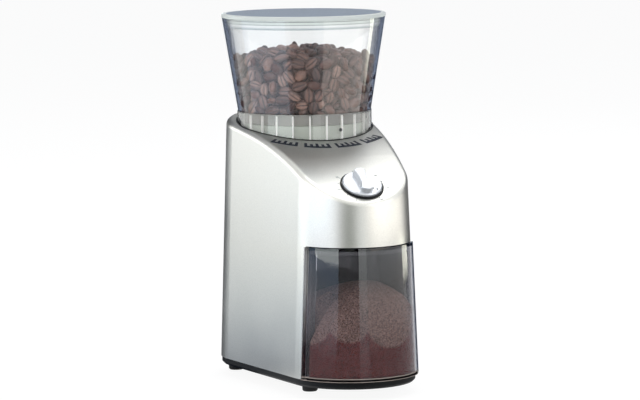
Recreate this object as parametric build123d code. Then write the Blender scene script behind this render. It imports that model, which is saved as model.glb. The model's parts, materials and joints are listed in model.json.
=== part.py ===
"""Burr coffee grinder, in millimetres.

+Z is up, the front faces -Y, and the origin is the centre of the footprint on the ground.
Names ending in _Z are heights above the ground, _R radii, _H heights of a piece.
"""
import os
from math import acos, asin, atan2, copysign, cos, degrees, hypot, pi, radians, sin, sqrt, tan

from build123d import *

# ---------------------------------------------------------------- clearances
RUN = 0.05            # radial, shaft in bearing
GAP = 0.3             # loose pieces that lift, slide or turn by hand
SCREW_GAP = 0.1       # screw in its hole

# ---------------------------------------------------------------- housing outline
NOSE_R = 46.2         # round nose of the footprint
FRONT_Y = -100.0      # foremost point of the housing's foot
CORNER_R = 47.0       # rear corners
SHOULDER = 11.4       # the housing is this much wider than the collar, each side, at its foot
HEEL = 10.5           # and reaches this much further back
BACK_R = 130.0        # gentle curve of the back
DRAFT = 2.06          # degrees, every wall leans inwards
WALL = 2.5            # moulded wall

FOOT_H = 8.0
TRAY_H = 5.0
TRAY_INSET = 0.8
TRAY_EASE = 1.6
LIP_W = 1.75          # upright lip of the tray, inside the housing
LIP_H = 5.0
VENT_L = 36.0
VENT_W = 3.2
VENT_PITCH = 7.0
VENTS = 7
TRAY_GAP = 0.3        # shadow gap between tray and housing
TRAY_Z = FOOT_H + TRAY_H
HOUSING_Z = TRAY_Z + TRAY_GAP

# The top is a curve seen from the side: two arcs, then a straight run to the back.
TOP_START = (-98.0, 137.6)     # y and z where the first arc starts, above the nose
TOP_ANGLES = (35.0, 19.5, 8.7)  # degrees of slope: at the nose, between the arcs, at the back
TOP_RADII = (242.0, 338.0)
TOP_EDGE_R = 4.5      # outer edge of the top

# ---------------------------------------------------------------- hopper and collar
AXIS_Y = 40.5         # hopper, burrs and spindle share one upright axis
HOPPER_RIM_R = 60.0
HOPPER_FOOT_R = 48.9
HOPPER_RIM_Z = 264.0
LEDGE_Z = 195.7       # step between bean cone and collar
LEDGE_H = 6.1
HOPPER_WALL = 2.2
FLOOR_WALL = 2.6      # sloping floor of the hopper, measured square to it
FLOOR_SEAT_W = 1.8    # downward ring by which the hopper sits on the adjuster ring
THROAT_WALL = 2.0
COLLAR_R = 49.4
COLLAR_WALL = 2.0
COLLAR_FOOT_Z = 169.0
COLLAR_RIBS = 24
RIB_W = 1.2
RIB_D = 1.4
LEDGE_FLANGE = 1.2    # thickness of the floor's edge, over the ribs
THROAT_R = 17.0
THROAT_Z = 175.0
FUNNEL_DROP = 19.0
LID_OVERHANG = 0.4    # the lid stands out over the rim
LID_H = 3.0
LID_PLATE = 2.0
LID_SKIRT_H = 7.0
LID_SKIRT_GAP = 1.0
LID_SKIRT_W = 1.6
LID_RIM_W = 3.4
LID_EASE = 0.6

# ---------------------------------------------------------------- grounds bin and its bay
BIN_TOP_Z = 107.9
FASCIA_GAP = 0.5      # between the bin and the housing over it
BIN_PROUD = 1.7       # the bin's front stands out from the housing
BIN_WALL = 2.2
BIN_SIDE_GAP = 0.12   # between the bay's wall and the housing's, at the split
BIN_BACK_Y = -15.5
BIN_SPLIT_Y = -70.0   # plane where the housing's side walls stop
BIN_CORNER_R = 8.0
BIN_LID_H = 2.0
BIN_LID_LIP = 3.0
BIN_LID_LIP_W = 1.45
BIN_LID_LIP_GAP = 0.35
BAY_WALL = 2.0
BAY_GAP = 0.6
BAY_HEADROOM = 1.1
BAY_SETBACK = 1.6     # the bay's walls start behind the housing's cut edge

# ---------------------------------------------------------------- grinding chamber
CHAMBER_R = 36.0
CHAMBER_WALL = 3.0
GEARBOX_LOW_Z = 98.0  # underside of the chassis plate
PLATE_H = 3.5
FLOOR_H = 3.0
SEAT_Z = 166.5        # flange that carries the adjuster ring
SEAL_GAP = 0.35       # between the turning collar and the seal
SEAL_W = 0.8
SEAL_PROUD = 0.4      # the seal stands out of the housing
SEAT_LIP = 0.25       # the flange is this much wider than the collar's seal
SEAT_H = 3.5
PLATE_X = 45.0
PLATE_Y = (-9.0, 74.0)
POST_R = 4.5
POST_INSET = 5.0
LEG_W = 9.0
OUTLET_H = 14.0       # opening through which the grounds leave the chamber
CHUTE_X = 13.0
CHUTE_WALL = 1.5
CHUTE_RUN = 30.0      # from the outlet to the bend in the chute's roof
CHUTE_FALL = 8.0      # of the roof over that run
DROP_Y = (-46.0, -22.0)
DROP_MOUTH_H = 6.0
DROP_ROOF_H = 12.0

# ---------------------------------------------------------------- adjuster and burrs
RING_R = 45.2
RING_BORE = 38.5
RING_TOP_Z = 187.0
CARRIER_R = 32.6
CARRIER_FLANGE_R = 38.2
CARRIER_FLANGE_H = 3.0
CARRIER_LIFT = 1.5    # flange above the chamber's rim, more than the grind travel
CARRIER_SKIRT = 5.0   # the ring burr stands this far below the carrier
INLET_R = 20.0
KEY_W = 8.0
KEY_D = 3.0
BURR_H = 24.0
BURR_R = 20.0
BURR_TOP_R = 11.0
RING_BURR_R = 27.0
RING_BURR_H = 18.3
RING_BURR_FOOT_R = 20.0
RING_BURR_TOP_R = 15.6
COARSE_TEETH = 8
FINE_TEETH = 32
SWEEPER_H = 3.0
SWEEPER_LIFT = 2.0    # over the chamber's floor
BURR_LIFT = 10.0      # from the sweeper's foot to the cone's
RING_BURR_LIFT = 4.0  # from the cone's foot to the ring's
BURR_BOLT_L = 12.0
BOLT_R = 2.4

# ---------------------------------------------------------------- motor and gears
MODULE = 1.0
PINION_TEETH = 10
IDLER_TEETH = 40
IDLER_SMALL_TEETH = 12
MAIN_TEETH = 54
ADDENDUM = 0.8
DEDENDUM = 1.15
BACKLASH = 0.34
PRESSURE_ANGLE = 20.0
IDLER_X = 22.0
GEAR_CLEAR = 2.5      # chassis plate to the idler
IDLER_FACE = 7.0
GEAR_STEP = 3.0       # idler's large wheel to the main gear
MAIN_FACE = 8.0
GEAR_HEADROOM = 4.0
SMALL_GEAR_RISE = 1.0  # the idler's small wheel stands over the main gear
MOTOR_R = 25.0
MOTOR_FOOT_Z = 24.0
MOTOR_WALL = 1.6
ARMATURE_R = 15.0
ARMATURE_Z = (42.0, 80.0)
COMMUTATOR_R = 8.0
SHAFT_R = 2.5
SPINDLE_LOW_R = 4.0
SPINDLE_R = 6.0
BURR_SEAT_R = 5.0
IDLER_PIN_R = 3.0

# ---------------------------------------------------------------- interlock under the collar
PLUNGER_R = 1.2
PLUNGER_L = 11.0
PLUNGER_TRAVEL = 1.5
SWITCH_SIZE = (20.0, 11.0, 16.0)
SWITCH_FRONT = 2.0    # from the plunger's axis to the switch's front face

# ---------------------------------------------------------------- timer dial
DIAL_Y = -78.0
KNOB_R = 14.4
KNOB_H = 2.4
GRIP_L = 27.0
GRIP_W = 9.5          # at its ends
GRIP_WAIST = 6.5
GRIP_H = 4.2
GRIP_DRAFT = 5.0
GRIP_EASE = 0.8
KNOB_GAP = 0.4        # under the knob
KNOB_TURN = 86.0      # degrees from +X to the grip, at rest
BEZEL_R = 15.6
BEZEL_H = 1.0
BEZEL_GAP = 0.35
TIMER_GAP = 0.8       # between the clockwork and the wall over it
TIMER_NECK = 2.2      # its neck stands up round the shaft
TIMER_R = 16.0
TIMER_H = 20.0
TIMER_SHAFT_R = 3.0

# ---------------------------------------------------------------- feet, cord inlet, screws
FOOT_R = 6.0
FRONT_FEET = (27.0, -40.0)
REAR_FEET = (43.0, 78.0)
INLET_Z = 40.0
INLET_OUTER_R = 7.0
INLET_BORE_R = 3.4
SCREW_R = 1.5
SCREW_HEAD_R = 3.0
SCREW_HEAD_H = 2.0
SIDE_BOSS_Y = 32.0
BACK_BOSS_X = 24.0
BOSS_R = 4.0
BOSS_H = 26.0
SIDE_BOSS_GAP = 1.5   # from a boss to the wall its web reaches
BACK_BOSS_GAP = 4.5
WEB_REACH = 8.0
WEB_W = 2.0
BASE_SCREW_L = 14.0
GEARBOX_SCREW_BITE = 10.5
MOTOR_SCREW_L = 9.0
BURR_SCREW_L = 14.0
INLET_FLANGE = 0.6
INLET_NECK = 1.8      # the bush's groove round the wall's hole
INLET_BACK = 2.0

# ---------------------------------------------------------------- derived places
HALF_WIDTH = COLLAR_R + SHOULDER
BACK_Y = AXIS_Y + COLLAR_R + HEEL
LID_R = HOPPER_RIM_R + LID_OVERHANG
NOSE_Y = FRONT_Y + NOSE_R
CORNER_X = HALF_WIDTH - CORNER_R
BACK_CENTRE_Y = BACK_Y - BACK_R
CORNER_Y = BACK_CENTRE_Y + sqrt((BACK_R - CORNER_R) ** 2 - CORNER_X ** 2)
CORNER_DISTANCE = hypot(CORNER_X, CORNER_Y - NOSE_Y)
SIDE_FLARE = acos((NOSE_R - CORNER_R) / CORNER_DISTANCE) - atan2(CORNER_Y - NOSE_Y, CORNER_X)

PINION_R = MODULE * PINION_TEETH / 2
IDLER_R = MODULE * IDLER_TEETH / 2
IDLER_SMALL_R = MODULE * IDLER_SMALL_TEETH / 2
MAIN_R = MODULE * MAIN_TEETH / 2
IDLER_Y = AXIS_Y - sqrt((MAIN_R + IDLER_SMALL_R) ** 2 - IDLER_X ** 2)
MOTOR_Y = IDLER_Y + sqrt((PINION_R + IDLER_R) ** 2 - IDLER_X ** 2)

PLATE_TOP_Z = GEARBOX_LOW_Z + PLATE_H
IDLER_GEAR_Z = (PLATE_TOP_Z + GEAR_CLEAR, PLATE_TOP_Z + GEAR_CLEAR + IDLER_FACE)
MAIN_GEAR_Z = (IDLER_GEAR_Z[1] + GEAR_STEP, IDLER_GEAR_Z[1] + GEAR_STEP + MAIN_FACE)
IDLER_TOP_Z = MAIN_GEAR_Z[1] + SMALL_GEAR_RISE
GEARBOX_TOP_Z = MAIN_GEAR_Z[1] + GEAR_HEADROOM
CHAMBER_FLOOR_Z = GEARBOX_TOP_Z + FLOOR_H
SWEEPER_FOOT_Z = CHAMBER_FLOOR_Z + SWEEPER_LIFT
BURR_FOOT_Z = SWEEPER_FOOT_Z + BURR_LIFT
RING_BURR_FOOT_Z = BURR_FOOT_Z + RING_BURR_LIFT
CARRIER_FOOT_Z = RING_BURR_FOOT_Z + CARRIER_SKIRT
GEARBOX_SCREW_L = CHAMBER_FLOOR_Z - PLATE_TOP_Z + GEARBOX_SCREW_BITE
CHAMBER_BORE = CHAMBER_R - CHAMBER_WALL
CARRIER_FLANGE_Z = SEAT_Z + CARRIER_LIFT
CARRIER_TOP_Z = CARRIER_FLANGE_Z + CARRIER_FLANGE_H
RING_BURR_TOP_Z = RING_BURR_FOOT_Z + RING_BURR_H
BURR_TOP_Z = BURR_FOOT_Z + BURR_H
COLLAR_BORE = COLLAR_R - COLLAR_WALL
FLOOR_RIM_Z = LEDGE_Z - LEDGE_H
SEAL_BORE = COLLAR_R + SEAL_GAP
SEAL_R = SEAL_BORE + SEAL_W
SEAT_R = SEAL_R + SEAT_LIP
HIGH = HOPPER_RIM_Z   # above everything that is cut by the top
NOSE_SPLIT_X = sqrt(NOSE_R ** 2 - (BIN_SPLIT_Y - NOSE_Y) ** 2)
BIN_HALF_W = NOSE_SPLIT_X - WALL - BIN_SIDE_GAP - BAY_WALL - BAY_GAP
BAY_TOP_Z = BIN_TOP_Z + BAY_HEADROOM
PLUNGER_Y = AXIS_Y - COLLAR_R + COLLAR_WALL / 2
PLUNGER_TOP_Z = COLLAR_FOOT_Z - GAP


def polar(radius, degrees_round, z=0.0):
    """A point about the upright hopper axis; 0 degrees is +X, -90 is the front."""
    turn = radians(degrees_round)
    return (radius * cos(turn), AXIS_Y + radius * sin(turn), z)


def tube(outer, inner, z0, z1, x=0.0, y=AXIS_Y):
    """An upright tube, or a rod when inner is 0."""
    solid = Pos(x, y, z0) * Cylinder(outer, z1 - z0, align=(Align.CENTER, Align.CENTER, Align.MIN))
    if inner > 0:
        bore = Pos(x, y, z0 - 1) * Cylinder(inner, z1 - z0 + 2, align=(Align.CENTER, Align.CENTER, Align.MIN))
        solid -= bore
    return solid


def block(x0, x1, y0, y1, z0, z1):
    """A box from its six limits."""
    return Pos((x0 + x1) / 2, (y0 + y1) / 2, (z0 + z1) / 2) * Box(x1 - x0, y1 - y0, z1 - z0)


def turned(points, y=AXIS_Y, x=0.0):
    """Revolve an outline of (radius, z) points about the upright axis through x, y."""
    outline = make_face(Polyline(*[(r, 0, z) for r, z in points], close=True))
    return Pos(x, y, 0) * revolve(outline, Axis.Z)


def screw(x, y, head_z, length, down=True):
    """A pan-head screw; head_z is the seat under its head, and the shank runs down or up."""
    way = 1 if down else -1
    shank = tube(SCREW_R, 0, min(head_z, head_z - way * length), max(head_z, head_z - way * length), x, y)
    head = tube(SCREW_HEAD_R, 0, min(head_z, head_z + way * SCREW_HEAD_H),
                max(head_z, head_z + way * SCREW_HEAD_H), x, y)
    return shank + head


def screw_hole(x, y, z0, z1):
    return tube(SCREW_R + SCREW_GAP, 0, z0, z1, x, y)


# ---------------------------------------------------------------- the housing's two curves
def outline(grow=0.0):
    """Footprint: round nose, straight flared sides, rounded rear corners, curved back."""
    nose = NOSE_R + grow
    corner = CORNER_R + grow
    back = BACK_R + grow
    side = (cos(SIDE_FLARE), -sin(SIDE_FLARE))
    nose_end = (nose * side[0], NOSE_Y + nose * side[1])
    side_end = (CORNER_X + corner * side[0], CORNER_Y + corner * side[1])
    back_turn = atan2(CORNER_Y - BACK_CENTRE_Y, CORNER_X)
    middle_turn = (back_turn - SIDE_FLARE) / 2
    middle = (CORNER_X + corner * cos(middle_turn), CORNER_Y + corner * sin(middle_turn))
    back_start = (back * cos(back_turn), BACK_CENTRE_Y + back * sin(back_turn))
    right = [Line(nose_end, side_end), ThreePointArc(side_end, middle, back_start)]
    left = [edge.mirror(Plane.YZ) for edge in right]
    nose_arc = ThreePointArc((-nose_end[0], nose_end[1]), (0, NOSE_Y - nose), nose_end)
    back_arc = ThreePointArc(back_start, (0, BACK_Y + grow), (-back_start[0], back_start[1]))
    face = make_face([nose_arc, *right, back_arc, *left])
    return face if face.face().normal_at().Z > 0 else -face


def drafted(grow, z0, z1):
    """A block between two heights whose sides lean like the housing's, grown outwards by grow."""
    lean = (z0 - HOUSING_Z) * tan(radians(DRAFT))
    return extrude(Pos(0, 0, z0) * outline(grow - lean), amount=z1 - z0, taper=DRAFT)


def top_normal(degrees_slope):
    return (-sin(radians(degrees_slope)), cos(radians(degrees_slope)))


def top_arcs():
    """Centre, radius, start and end slope of the two arcs of the top."""
    arcs = []
    start = TOP_START
    for radius, first, last in zip(TOP_RADII, TOP_ANGLES, TOP_ANGLES[1:]):
        n0 = top_normal(first)
        centre = (start[0] - radius * n0[0], start[1] - radius * n0[1])
        n1 = top_normal(last)
        start = (centre[0] + radius * n1[0], centre[1] + radius * n1[1])
        arcs.append((centre, radius, first, last))
    return arcs


def under_top(rise=0.0):
    """Everything below the housing's top, which is lifted along its normal by rise."""
    def on_arc(centre, radius, slope):
        n = top_normal(slope)
        return (centre[0] + (radius + rise) * n[0], centre[1] + (radius + rise) * n[1])

    arcs = top_arcs()
    edges = []
    start = on_arc(*arcs[0][:3])
    reach = 40.0
    front = (start[0] - reach * cos(radians(TOP_ANGLES[0])), start[1] - reach * sin(radians(TOP_ANGLES[0])))
    edges.append(Line(front, start))
    for centre, radius, first, last in arcs:
        a = on_arc(centre, radius, first)
        b = on_arc(centre, radius, (first + last) / 2)
        c = on_arc(centre, radius, last)
        edges.append(ThreePointArc(a, b, c))
        end = c
    run = (BACK_Y + reach - end[0]) / cos(radians(TOP_ANGLES[-1]))
    back = (end[0] + run * cos(radians(TOP_ANGLES[-1])), end[1] + run * sin(radians(TOP_ANGLES[-1])))
    edges.append(Line(end, back))
    edges.append(Polyline(back, (back[0], 0), (front[0], 0), front))
    face = Plane.YZ * make_face(edges)
    return extrude(face, amount=2 * HALF_WIDTH, both=True)


def top_at(y):
    """Height and slope in degrees of the top above a place on its first arc."""
    centre, radius, _, _ = top_arcs()[0]
    slope = asin((centre[0] - y) / radius)
    return centre[1] + radius * cos(slope), degrees(slope)


DIAL_Z, DIAL_SLOPE = top_at(DIAL_Y)
DIAL = Plane(origin=(0, DIAL_Y, DIAL_Z), x_dir=(1, 0, 0),
             z_dir=(0, -sin(radians(DIAL_SLOPE)), cos(radians(DIAL_SLOPE))))


def on_dial(shape, lift=0.0):
    """Place a shape on the dial's plane, lift millimetres out of the housing."""
    return DIAL.offset(lift) * shape


def bin_block(grow, z0, z1, front_y=None):
    """The rear part of the bin's space, leaning like the housing."""
    front = BIN_SPLIT_Y - BIN_CORNER_R if front_y is None else front_y
    lean = (z0 - HOUSING_Z) * tan(radians(DRAFT))
    width = 2 * (BIN_HALF_W + grow - lean)
    back = BIN_BACK_Y + grow - lean
    depth = back - front
    face = Pos(0, (back + front) / 2, z0) * RectangleRounded(width, depth, BIN_CORNER_R)
    return extrude(face, amount=z1 - z0, taper=DRAFT)


def plate_corners():
    """Posts and legs stand at the four corners of the gearbox plates."""
    x = PLATE_X - POST_INSET
    return [(sx * x, y) for sx in (-1, 1) for y in (PLATE_Y[0] + POST_INSET, PLATE_Y[1] - POST_INSET)]


def boss_places():
    side_x = outline_half_width(SIDE_BOSS_Y) - WALL - BOSS_R - SIDE_BOSS_GAP
    back_y = BACK_Y - WALL - BOSS_R - BACK_BOSS_GAP
    return [(sx * side_x, SIDE_BOSS_Y) for sx in (-1, 1)] + [(sx * BACK_BOSS_X, back_y) for sx in (-1, 1)]


def outline_half_width(y):
    """Half-width of the footprint on its straight flared side."""
    side = (cos(SIDE_FLARE), -sin(SIDE_FLARE))
    nose_end = (NOSE_R * side[0], NOSE_Y + NOSE_R * side[1])
    return nose_end[0] + (y - nose_end[1]) * tan(SIDE_FLARE)


# ---------------------------------------------------------------- casing
def housing_shell():
    """One drafted moulding with a sloping top, open below and at the bin's bay."""
    outer = drafted(0, HOUSING_Z, HIGH) & under_top()
    rim = [e for e in outer.edges()
           if e.center().Z > TOP_START[1] - 15 and e.bounding_box().size.Y > 0.5]
    rim = [e for e in rim if e.bounding_box().size.Z < 80]
    outer = fillet(rim, TOP_EDGE_R)
    inner = drafted(-WALL, HOUSING_Z, HIGH) & under_top(-WALL)
    shell = outer - inner
    shell -= block(-HALF_WIDTH, HALF_WIDTH, FRONT_Y - 5, BIN_SPLIT_Y, 0, BIN_TOP_Z + FASCIA_GAP)
    shell -= tube(SEAL_R, 0, SEAT_Z, HIGH)
    shell -= on_dial(Cylinder(BEZEL_R + SCREW_GAP, 2 * BEZEL_H))
    shell -= on_dial(Cylinder(TIMER_SHAFT_R + TIMER_NECK + GAP, 4 * WALL))
    shell -= Pos(0, BACK_Y, INLET_Z) * Rot(90, 0, 0) * Cylinder(INLET_OUTER_R - 1.5, 12)
    for x, y in boss_places():
        boss = tube(BOSS_R, 0, HOUSING_Z, HOUSING_Z + BOSS_H, x, y)
        if y == SIDE_BOSS_Y:
            end = x + copysign(WEB_REACH, x)
            web = block(min(x, end), max(x, end), y - WEB_W / 2, y + WEB_W / 2, HOUSING_Z, HOUSING_Z + BOSS_H)
        else:
            web = block(x - WEB_W / 2, x + WEB_W / 2, y, BACK_Y, HOUSING_Z, HOUSING_Z + BOSS_H)
        shell += (boss + web) & outer
        shell -= screw_hole(x, y, HOUSING_Z - 1, HOUSING_Z + BOSS_H - 4)
    return shell


def base_tray():
    """Black foot of the housing: a plate with an eased lower edge, a lip and vent slots."""
    plate = drafted(-TRAY_INSET, FOOT_H, TRAY_Z)
    plate = chamfer(plate.faces().sort_by(Axis.Z)[0].edges(), TRAY_EASE)
    top = TRAY_Z + LIP_H
    lip = drafted(-WALL - GAP, TRAY_Z, top) - drafted(-WALL - GAP - LIP_W, TRAY_Z, top + 1)
    lip &= block(-HALF_WIDTH, HALF_WIDTH, BIN_BACK_Y + 8, BACK_Y, TRAY_Z, top)
    notch = WEB_W / 2 + 2 * GAP
    for x, y in boss_places():
        lip -= tube(BOSS_R + 2 * GAP, 0, TRAY_Z - 1, top + 1, x, y)
        lip -= block(min(x, 1.4 * x), max(x, 1.4 * x), y - notch, y + notch, TRAY_Z, top + 1)
        lip -= block(x - notch, x + notch, y, BACK_Y, TRAY_Z, top + 1)
    tray = plate + lip
    slot = extrude(SlotOverall(VENT_L, VENT_W, rotation=90), TRAY_H + 2)
    slots = [Pos((i - (VENTS - 1) / 2) * VENT_PITCH, MOTOR_Y, FOOT_H - 1) * slot for i in range(VENTS)]
    tray -= slots
    for x, y in boss_places() + plate_corners():
        tray -= screw_hole(x, y, FOOT_H - 1, TRAY_Z + 1)
        tray -= tube(SCREW_HEAD_R + SCREW_GAP, 0, FOOT_H - 1, FOOT_H + SCREW_HEAD_H + 0.5, x, y)
    return tray


def foot_places():
    return [(sx * x, y) for x, y in (FRONT_FEET, REAR_FEET) for sx in (-1, 1)]


def rubber_feet():
    """Four tapered rubber feet."""
    profile = [(0, 0), (FOOT_R - 1.2, 0), (FOOT_R - 0.5, 0.8), (FOOT_R, FOOT_H), (0, FOOT_H)]
    return Compound([turned(profile, y, x).solid() for x, y in foot_places()])


def base_screws():
    """Screws up through the tray into the housing's bosses and the chassis' legs."""
    seat = FOOT_H + SCREW_HEAD_H + 0.5
    places = boss_places() + plate_corners()
    return Compound([screw(x, y, seat, BASE_SCREW_L, down=False).solid() for x, y in places])


def cord_inlet():
    """Rubber bush in the back wall that the mains lead enters by."""
    neck = INLET_OUTER_R - INLET_NECK
    inside = -WALL - 1.5
    profile = [(INLET_BORE_R, 0.0), (INLET_OUTER_R, 0.0), (INLET_OUTER_R, -INLET_FLANGE),
               (neck, -INLET_FLANGE), (neck, inside), (INLET_OUTER_R, inside),
               (INLET_OUTER_R, inside - INLET_BACK), (INLET_BORE_R, inside - INLET_BACK)]
    return Pos(0, BACK_Y, INLET_Z) * Rot(-90, 0, 0) * turned(profile, y=0)


def bay_liner():
    """Dark walls, back and ceiling of the space the bin slides into."""
    outer = bin_block(BAY_GAP + BAY_WALL, HOUSING_Z, BAY_TOP_Z)
    liner = outer - bin_block(BAY_GAP, HOUSING_Z - 1, BAY_TOP_Z + 1)
    liner -= block(-HALF_WIDTH, HALF_WIDTH, FRONT_Y, BIN_SPLIT_Y + BAY_SETBACK, 0, BAY_TOP_Z + 1)
    ceiling = drafted(-WALL - GAP, BAY_TOP_Z, BAY_TOP_Z + BAY_WALL)
    grow = BAY_GAP + BAY_WALL - (BAY_TOP_Z - HOUSING_Z) * tan(radians(DRAFT))
    ceiling &= block(-BIN_HALF_W - grow, BIN_HALF_W + grow, FRONT_Y, BIN_BACK_Y + grow,
                     BAY_TOP_Z, BAY_TOP_Z + BAY_WALL)
    ceiling -= block(-CHUTE_X - GAP, CHUTE_X + GAP, DROP_Y[0] - GAP, DROP_Y[1] + GAP,
                     BAY_TOP_Z - 1, BAY_TOP_Z + BAY_WALL + 1)
    return liner + ceiling


# ---------------------------------------------------------------- inner frame
def gearbox_plate(z0, z1):
    middle = (PLATE_Y[0] + PLATE_Y[1]) / 2
    face = Pos(0, middle, z0) * RectangleRounded(2 * PLATE_X, PLATE_Y[1] - PLATE_Y[0], 9)
    return extrude(face, z1 - z0)


def chassis():
    """A plate on four legs: it hangs the motor and carries the gearbox."""
    frame = gearbox_plate(GEARBOX_LOW_Z, PLATE_TOP_Z)
    for x, y in plate_corners():
        leg = Pos(x, y, TRAY_Z) * extrude(RectangleRounded(LEG_W, LEG_W, 2), GEARBOX_LOW_Z - TRAY_Z)
        frame += leg
        frame -= screw_hole(x, y, TRAY_Z - 1, TRAY_Z + BASE_SCREW_L)
        frame -= screw_hole(x, y, CHAMBER_FLOOR_Z - GEARBOX_SCREW_L - 1, PLATE_TOP_Z + 1)
    below = GEARBOX_LOW_Z - 1
    frame -= tube(SHAFT_R + 2.5, 0, below, PLATE_TOP_Z + 1, 0, MOTOR_Y)
    frame -= tube(SPINDLE_LOW_R + 2, 0, below, PLATE_TOP_Z + 1)
    frame -= tube(IDLER_PIN_R, 0, below, PLATE_TOP_Z + 1, IDLER_X, IDLER_Y)
    for x in motor_screw_xs():
        frame -= screw_hole(x, MOTOR_Y, below, PLATE_TOP_Z + 1)
    return frame


def grinding_chamber():
    """Cup round the burrs, with the gearbox's top as its floor and a seat for the ring."""
    chamber = gearbox_plate(GEARBOX_TOP_Z, CHAMBER_FLOOR_Z)
    chamber -= block(-CHUTE_X - 1.5, CHUTE_X + 1.5, PLATE_Y[0] - 1, AXIS_Y - CHAMBER_BORE,
                     GEARBOX_TOP_Z - 1, CHAMBER_FLOOR_Z + 1)
    chamber += tube(CHAMBER_R, CHAMBER_BORE, GEARBOX_TOP_Z, SEAT_Z)
    chamber += tube(SEAT_R, CHAMBER_BORE, SEAT_Z - SEAT_H, SEAT_Z)
    chamber += tube(SPINDLE_R + 6, 0, GEARBOX_TOP_Z - 3, CHAMBER_FLOOR_Z)
    for turn in (30, 90, 150, 210, 330):
        rib = Pos(0, AXIS_Y, 0) * Rot(0, 0, turn) * block(
            CHAMBER_R - 1, SEAT_R - 2, -1.2, 1.2, CHAMBER_FLOOR_Z, SEAT_Z - SEAT_H)
        sweep = Pos(0, AXIS_Y, 0) * Rot(0, 0, turn) * Pos(SEAT_R + 6, 0, CHAMBER_FLOOR_Z) * Rot(90, 0, 0) * \
            Cylinder(22, 6)
        chamber += rib - sweep
    for x, y in plate_corners():
        chamber += tube(POST_R, 0, PLATE_TOP_Z, GEARBOX_TOP_Z, x, y)
        chamber -= screw_hole(x, y, PLATE_TOP_Z - 1, CHAMBER_FLOOR_Z + 1)
    chamber -= tube(SPINDLE_R + 3, 0, GEARBOX_TOP_Z - 4, CHAMBER_FLOOR_Z + 1)
    chamber -= tube(IDLER_PIN_R, 0, GEARBOX_TOP_Z - 1, CHAMBER_FLOOR_Z - 1, IDLER_X, IDLER_Y)
    chamber -= block(-CHUTE_X + CHUTE_WALL, CHUTE_X - CHUTE_WALL, AXIS_Y - CHAMBER_R - 2,
                     AXIS_Y - CHAMBER_BORE + 4, CHAMBER_FLOOR_Z, CHAMBER_FLOOR_Z + OUTLET_H)
    chamber -= tube(PLUNGER_R + GAP, 0, SEAT_Z - SEAT_H - 1, SEAT_Z + 1, 0, PLUNGER_Y)
    return chamber


def gearbox_screws():
    return Compound([screw(x, y, CHAMBER_FLOOR_Z, GEARBOX_SCREW_L).solid() for x, y in plate_corners()])


def ground_chute():
    """Sloping duct from the chamber's outlet to the drop over the bin."""
    mouth_y = AXIS_Y - CHAMBER_R + CHAMBER_WALL + CHUTE_WALL
    low = CHAMBER_FLOOR_Z
    high = CHAMBER_FLOOR_Z + OUTLET_H
    front = DROP_Y[0] + CHUTE_WALL
    back = DROP_Y[1] - CHUTE_WALL

    def side(wall):
        """Side view of the duct; wall is 0 for its inside."""
        return [(mouth_y, low - wall), (back + wall, BAY_TOP_Z + DROP_MOUTH_H - wall),
                (back + wall, BAY_TOP_Z), (front - wall, BAY_TOP_Z),
                (front - wall, BAY_TOP_Z + DROP_ROOF_H + wall),
                (mouth_y - CHUTE_RUN, high - CHUTE_FALL + wall), (mouth_y, high + wall)]

    def duct(wall, half):
        face = Plane.YZ * make_face(Polyline(*side(wall), close=True))
        return extrude(face, amount=half, both=True)

    chute = duct(CHUTE_WALL, CHUTE_X) - duct(0, CHUTE_X - CHUTE_WALL)
    chute -= tube(CHAMBER_R + SCREW_GAP, 0, GEARBOX_TOP_Z - FLOOR_H, SEAT_Z)
    return chute


# ---------------------------------------------------------------- gears
def involute_point(base, radius):
    """Roll angle and polar angle of an involute at a radius."""
    turn = sqrt(max((radius / base) ** 2 - 1, 0.0))
    return turn - atan2(turn, 1.0)


def gear(teeth, z0, z1, bore, phase, x, y):
    """Spur gear with involute flanks; one tooth is centred on the angle phase, in radians."""
    pitch = MODULE * teeth / 2
    base = pitch * cos(radians(PRESSURE_ANGLE))
    tip = pitch + ADDENDUM * MODULE
    root = pitch - DEDENDUM * MODULE
    half = (pi * MODULE / 2 - BACKLASH) / 2 / pitch + involute_point(base, pitch)
    flank = []
    start = max(base, root)
    for step in range(3):
        radius = start + (tip - start) * step / 2
        flank.append((radius, half - involute_point(base, radius)))
    points = []
    for tooth in range(teeth):
        middle = phase + 2 * pi * tooth / teeth
        sides = [(root, -flank[0][1])] if root < start else []
        sides += [(r, -a) for r, a in flank] + [(r, a) for r, a in reversed(flank)]
        sides += [(root, flank[0][1])] if root < start else []
        points += [(r * cos(middle + a), r * sin(middle + a)) for r, a in sides]
    body = extrude(Pos(x, y, z0) * make_face(Polyline(*points, close=True)), z1 - z0)
    return body - tube(bore, 0, z0 - 1, z1 + 1, x, y)


def meshing_phase(teeth, other_teeth, other_phase, way):
    """Phase of a gear that meshes with another one lying in the direction way, in radians."""
    other = ((way + pi - other_phase) * other_teeth / (2 * pi)) % 1.0
    return way - (0.5 - other) * 2 * pi / teeth


IDLER_TO_MAIN = atan2(AXIS_Y - IDLER_Y, -IDLER_X)
IDLER_TO_PINION = atan2(MOTOR_Y - IDLER_Y, -IDLER_X)
MAIN_PHASE = 0.0
PINION_PHASE = 0.0


def main_gear():
    """Large gear on the burr spindle."""
    wheel = gear(MAIN_TEETH, *MAIN_GEAR_Z, SPINDLE_R, MAIN_PHASE, 0, AXIS_Y)
    web = tube(MAIN_R - 4, SPINDLE_R + 4, MAIN_GEAR_Z[1] - 2.5, MAIN_GEAR_Z[1] + 1)
    return wheel - web


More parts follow.
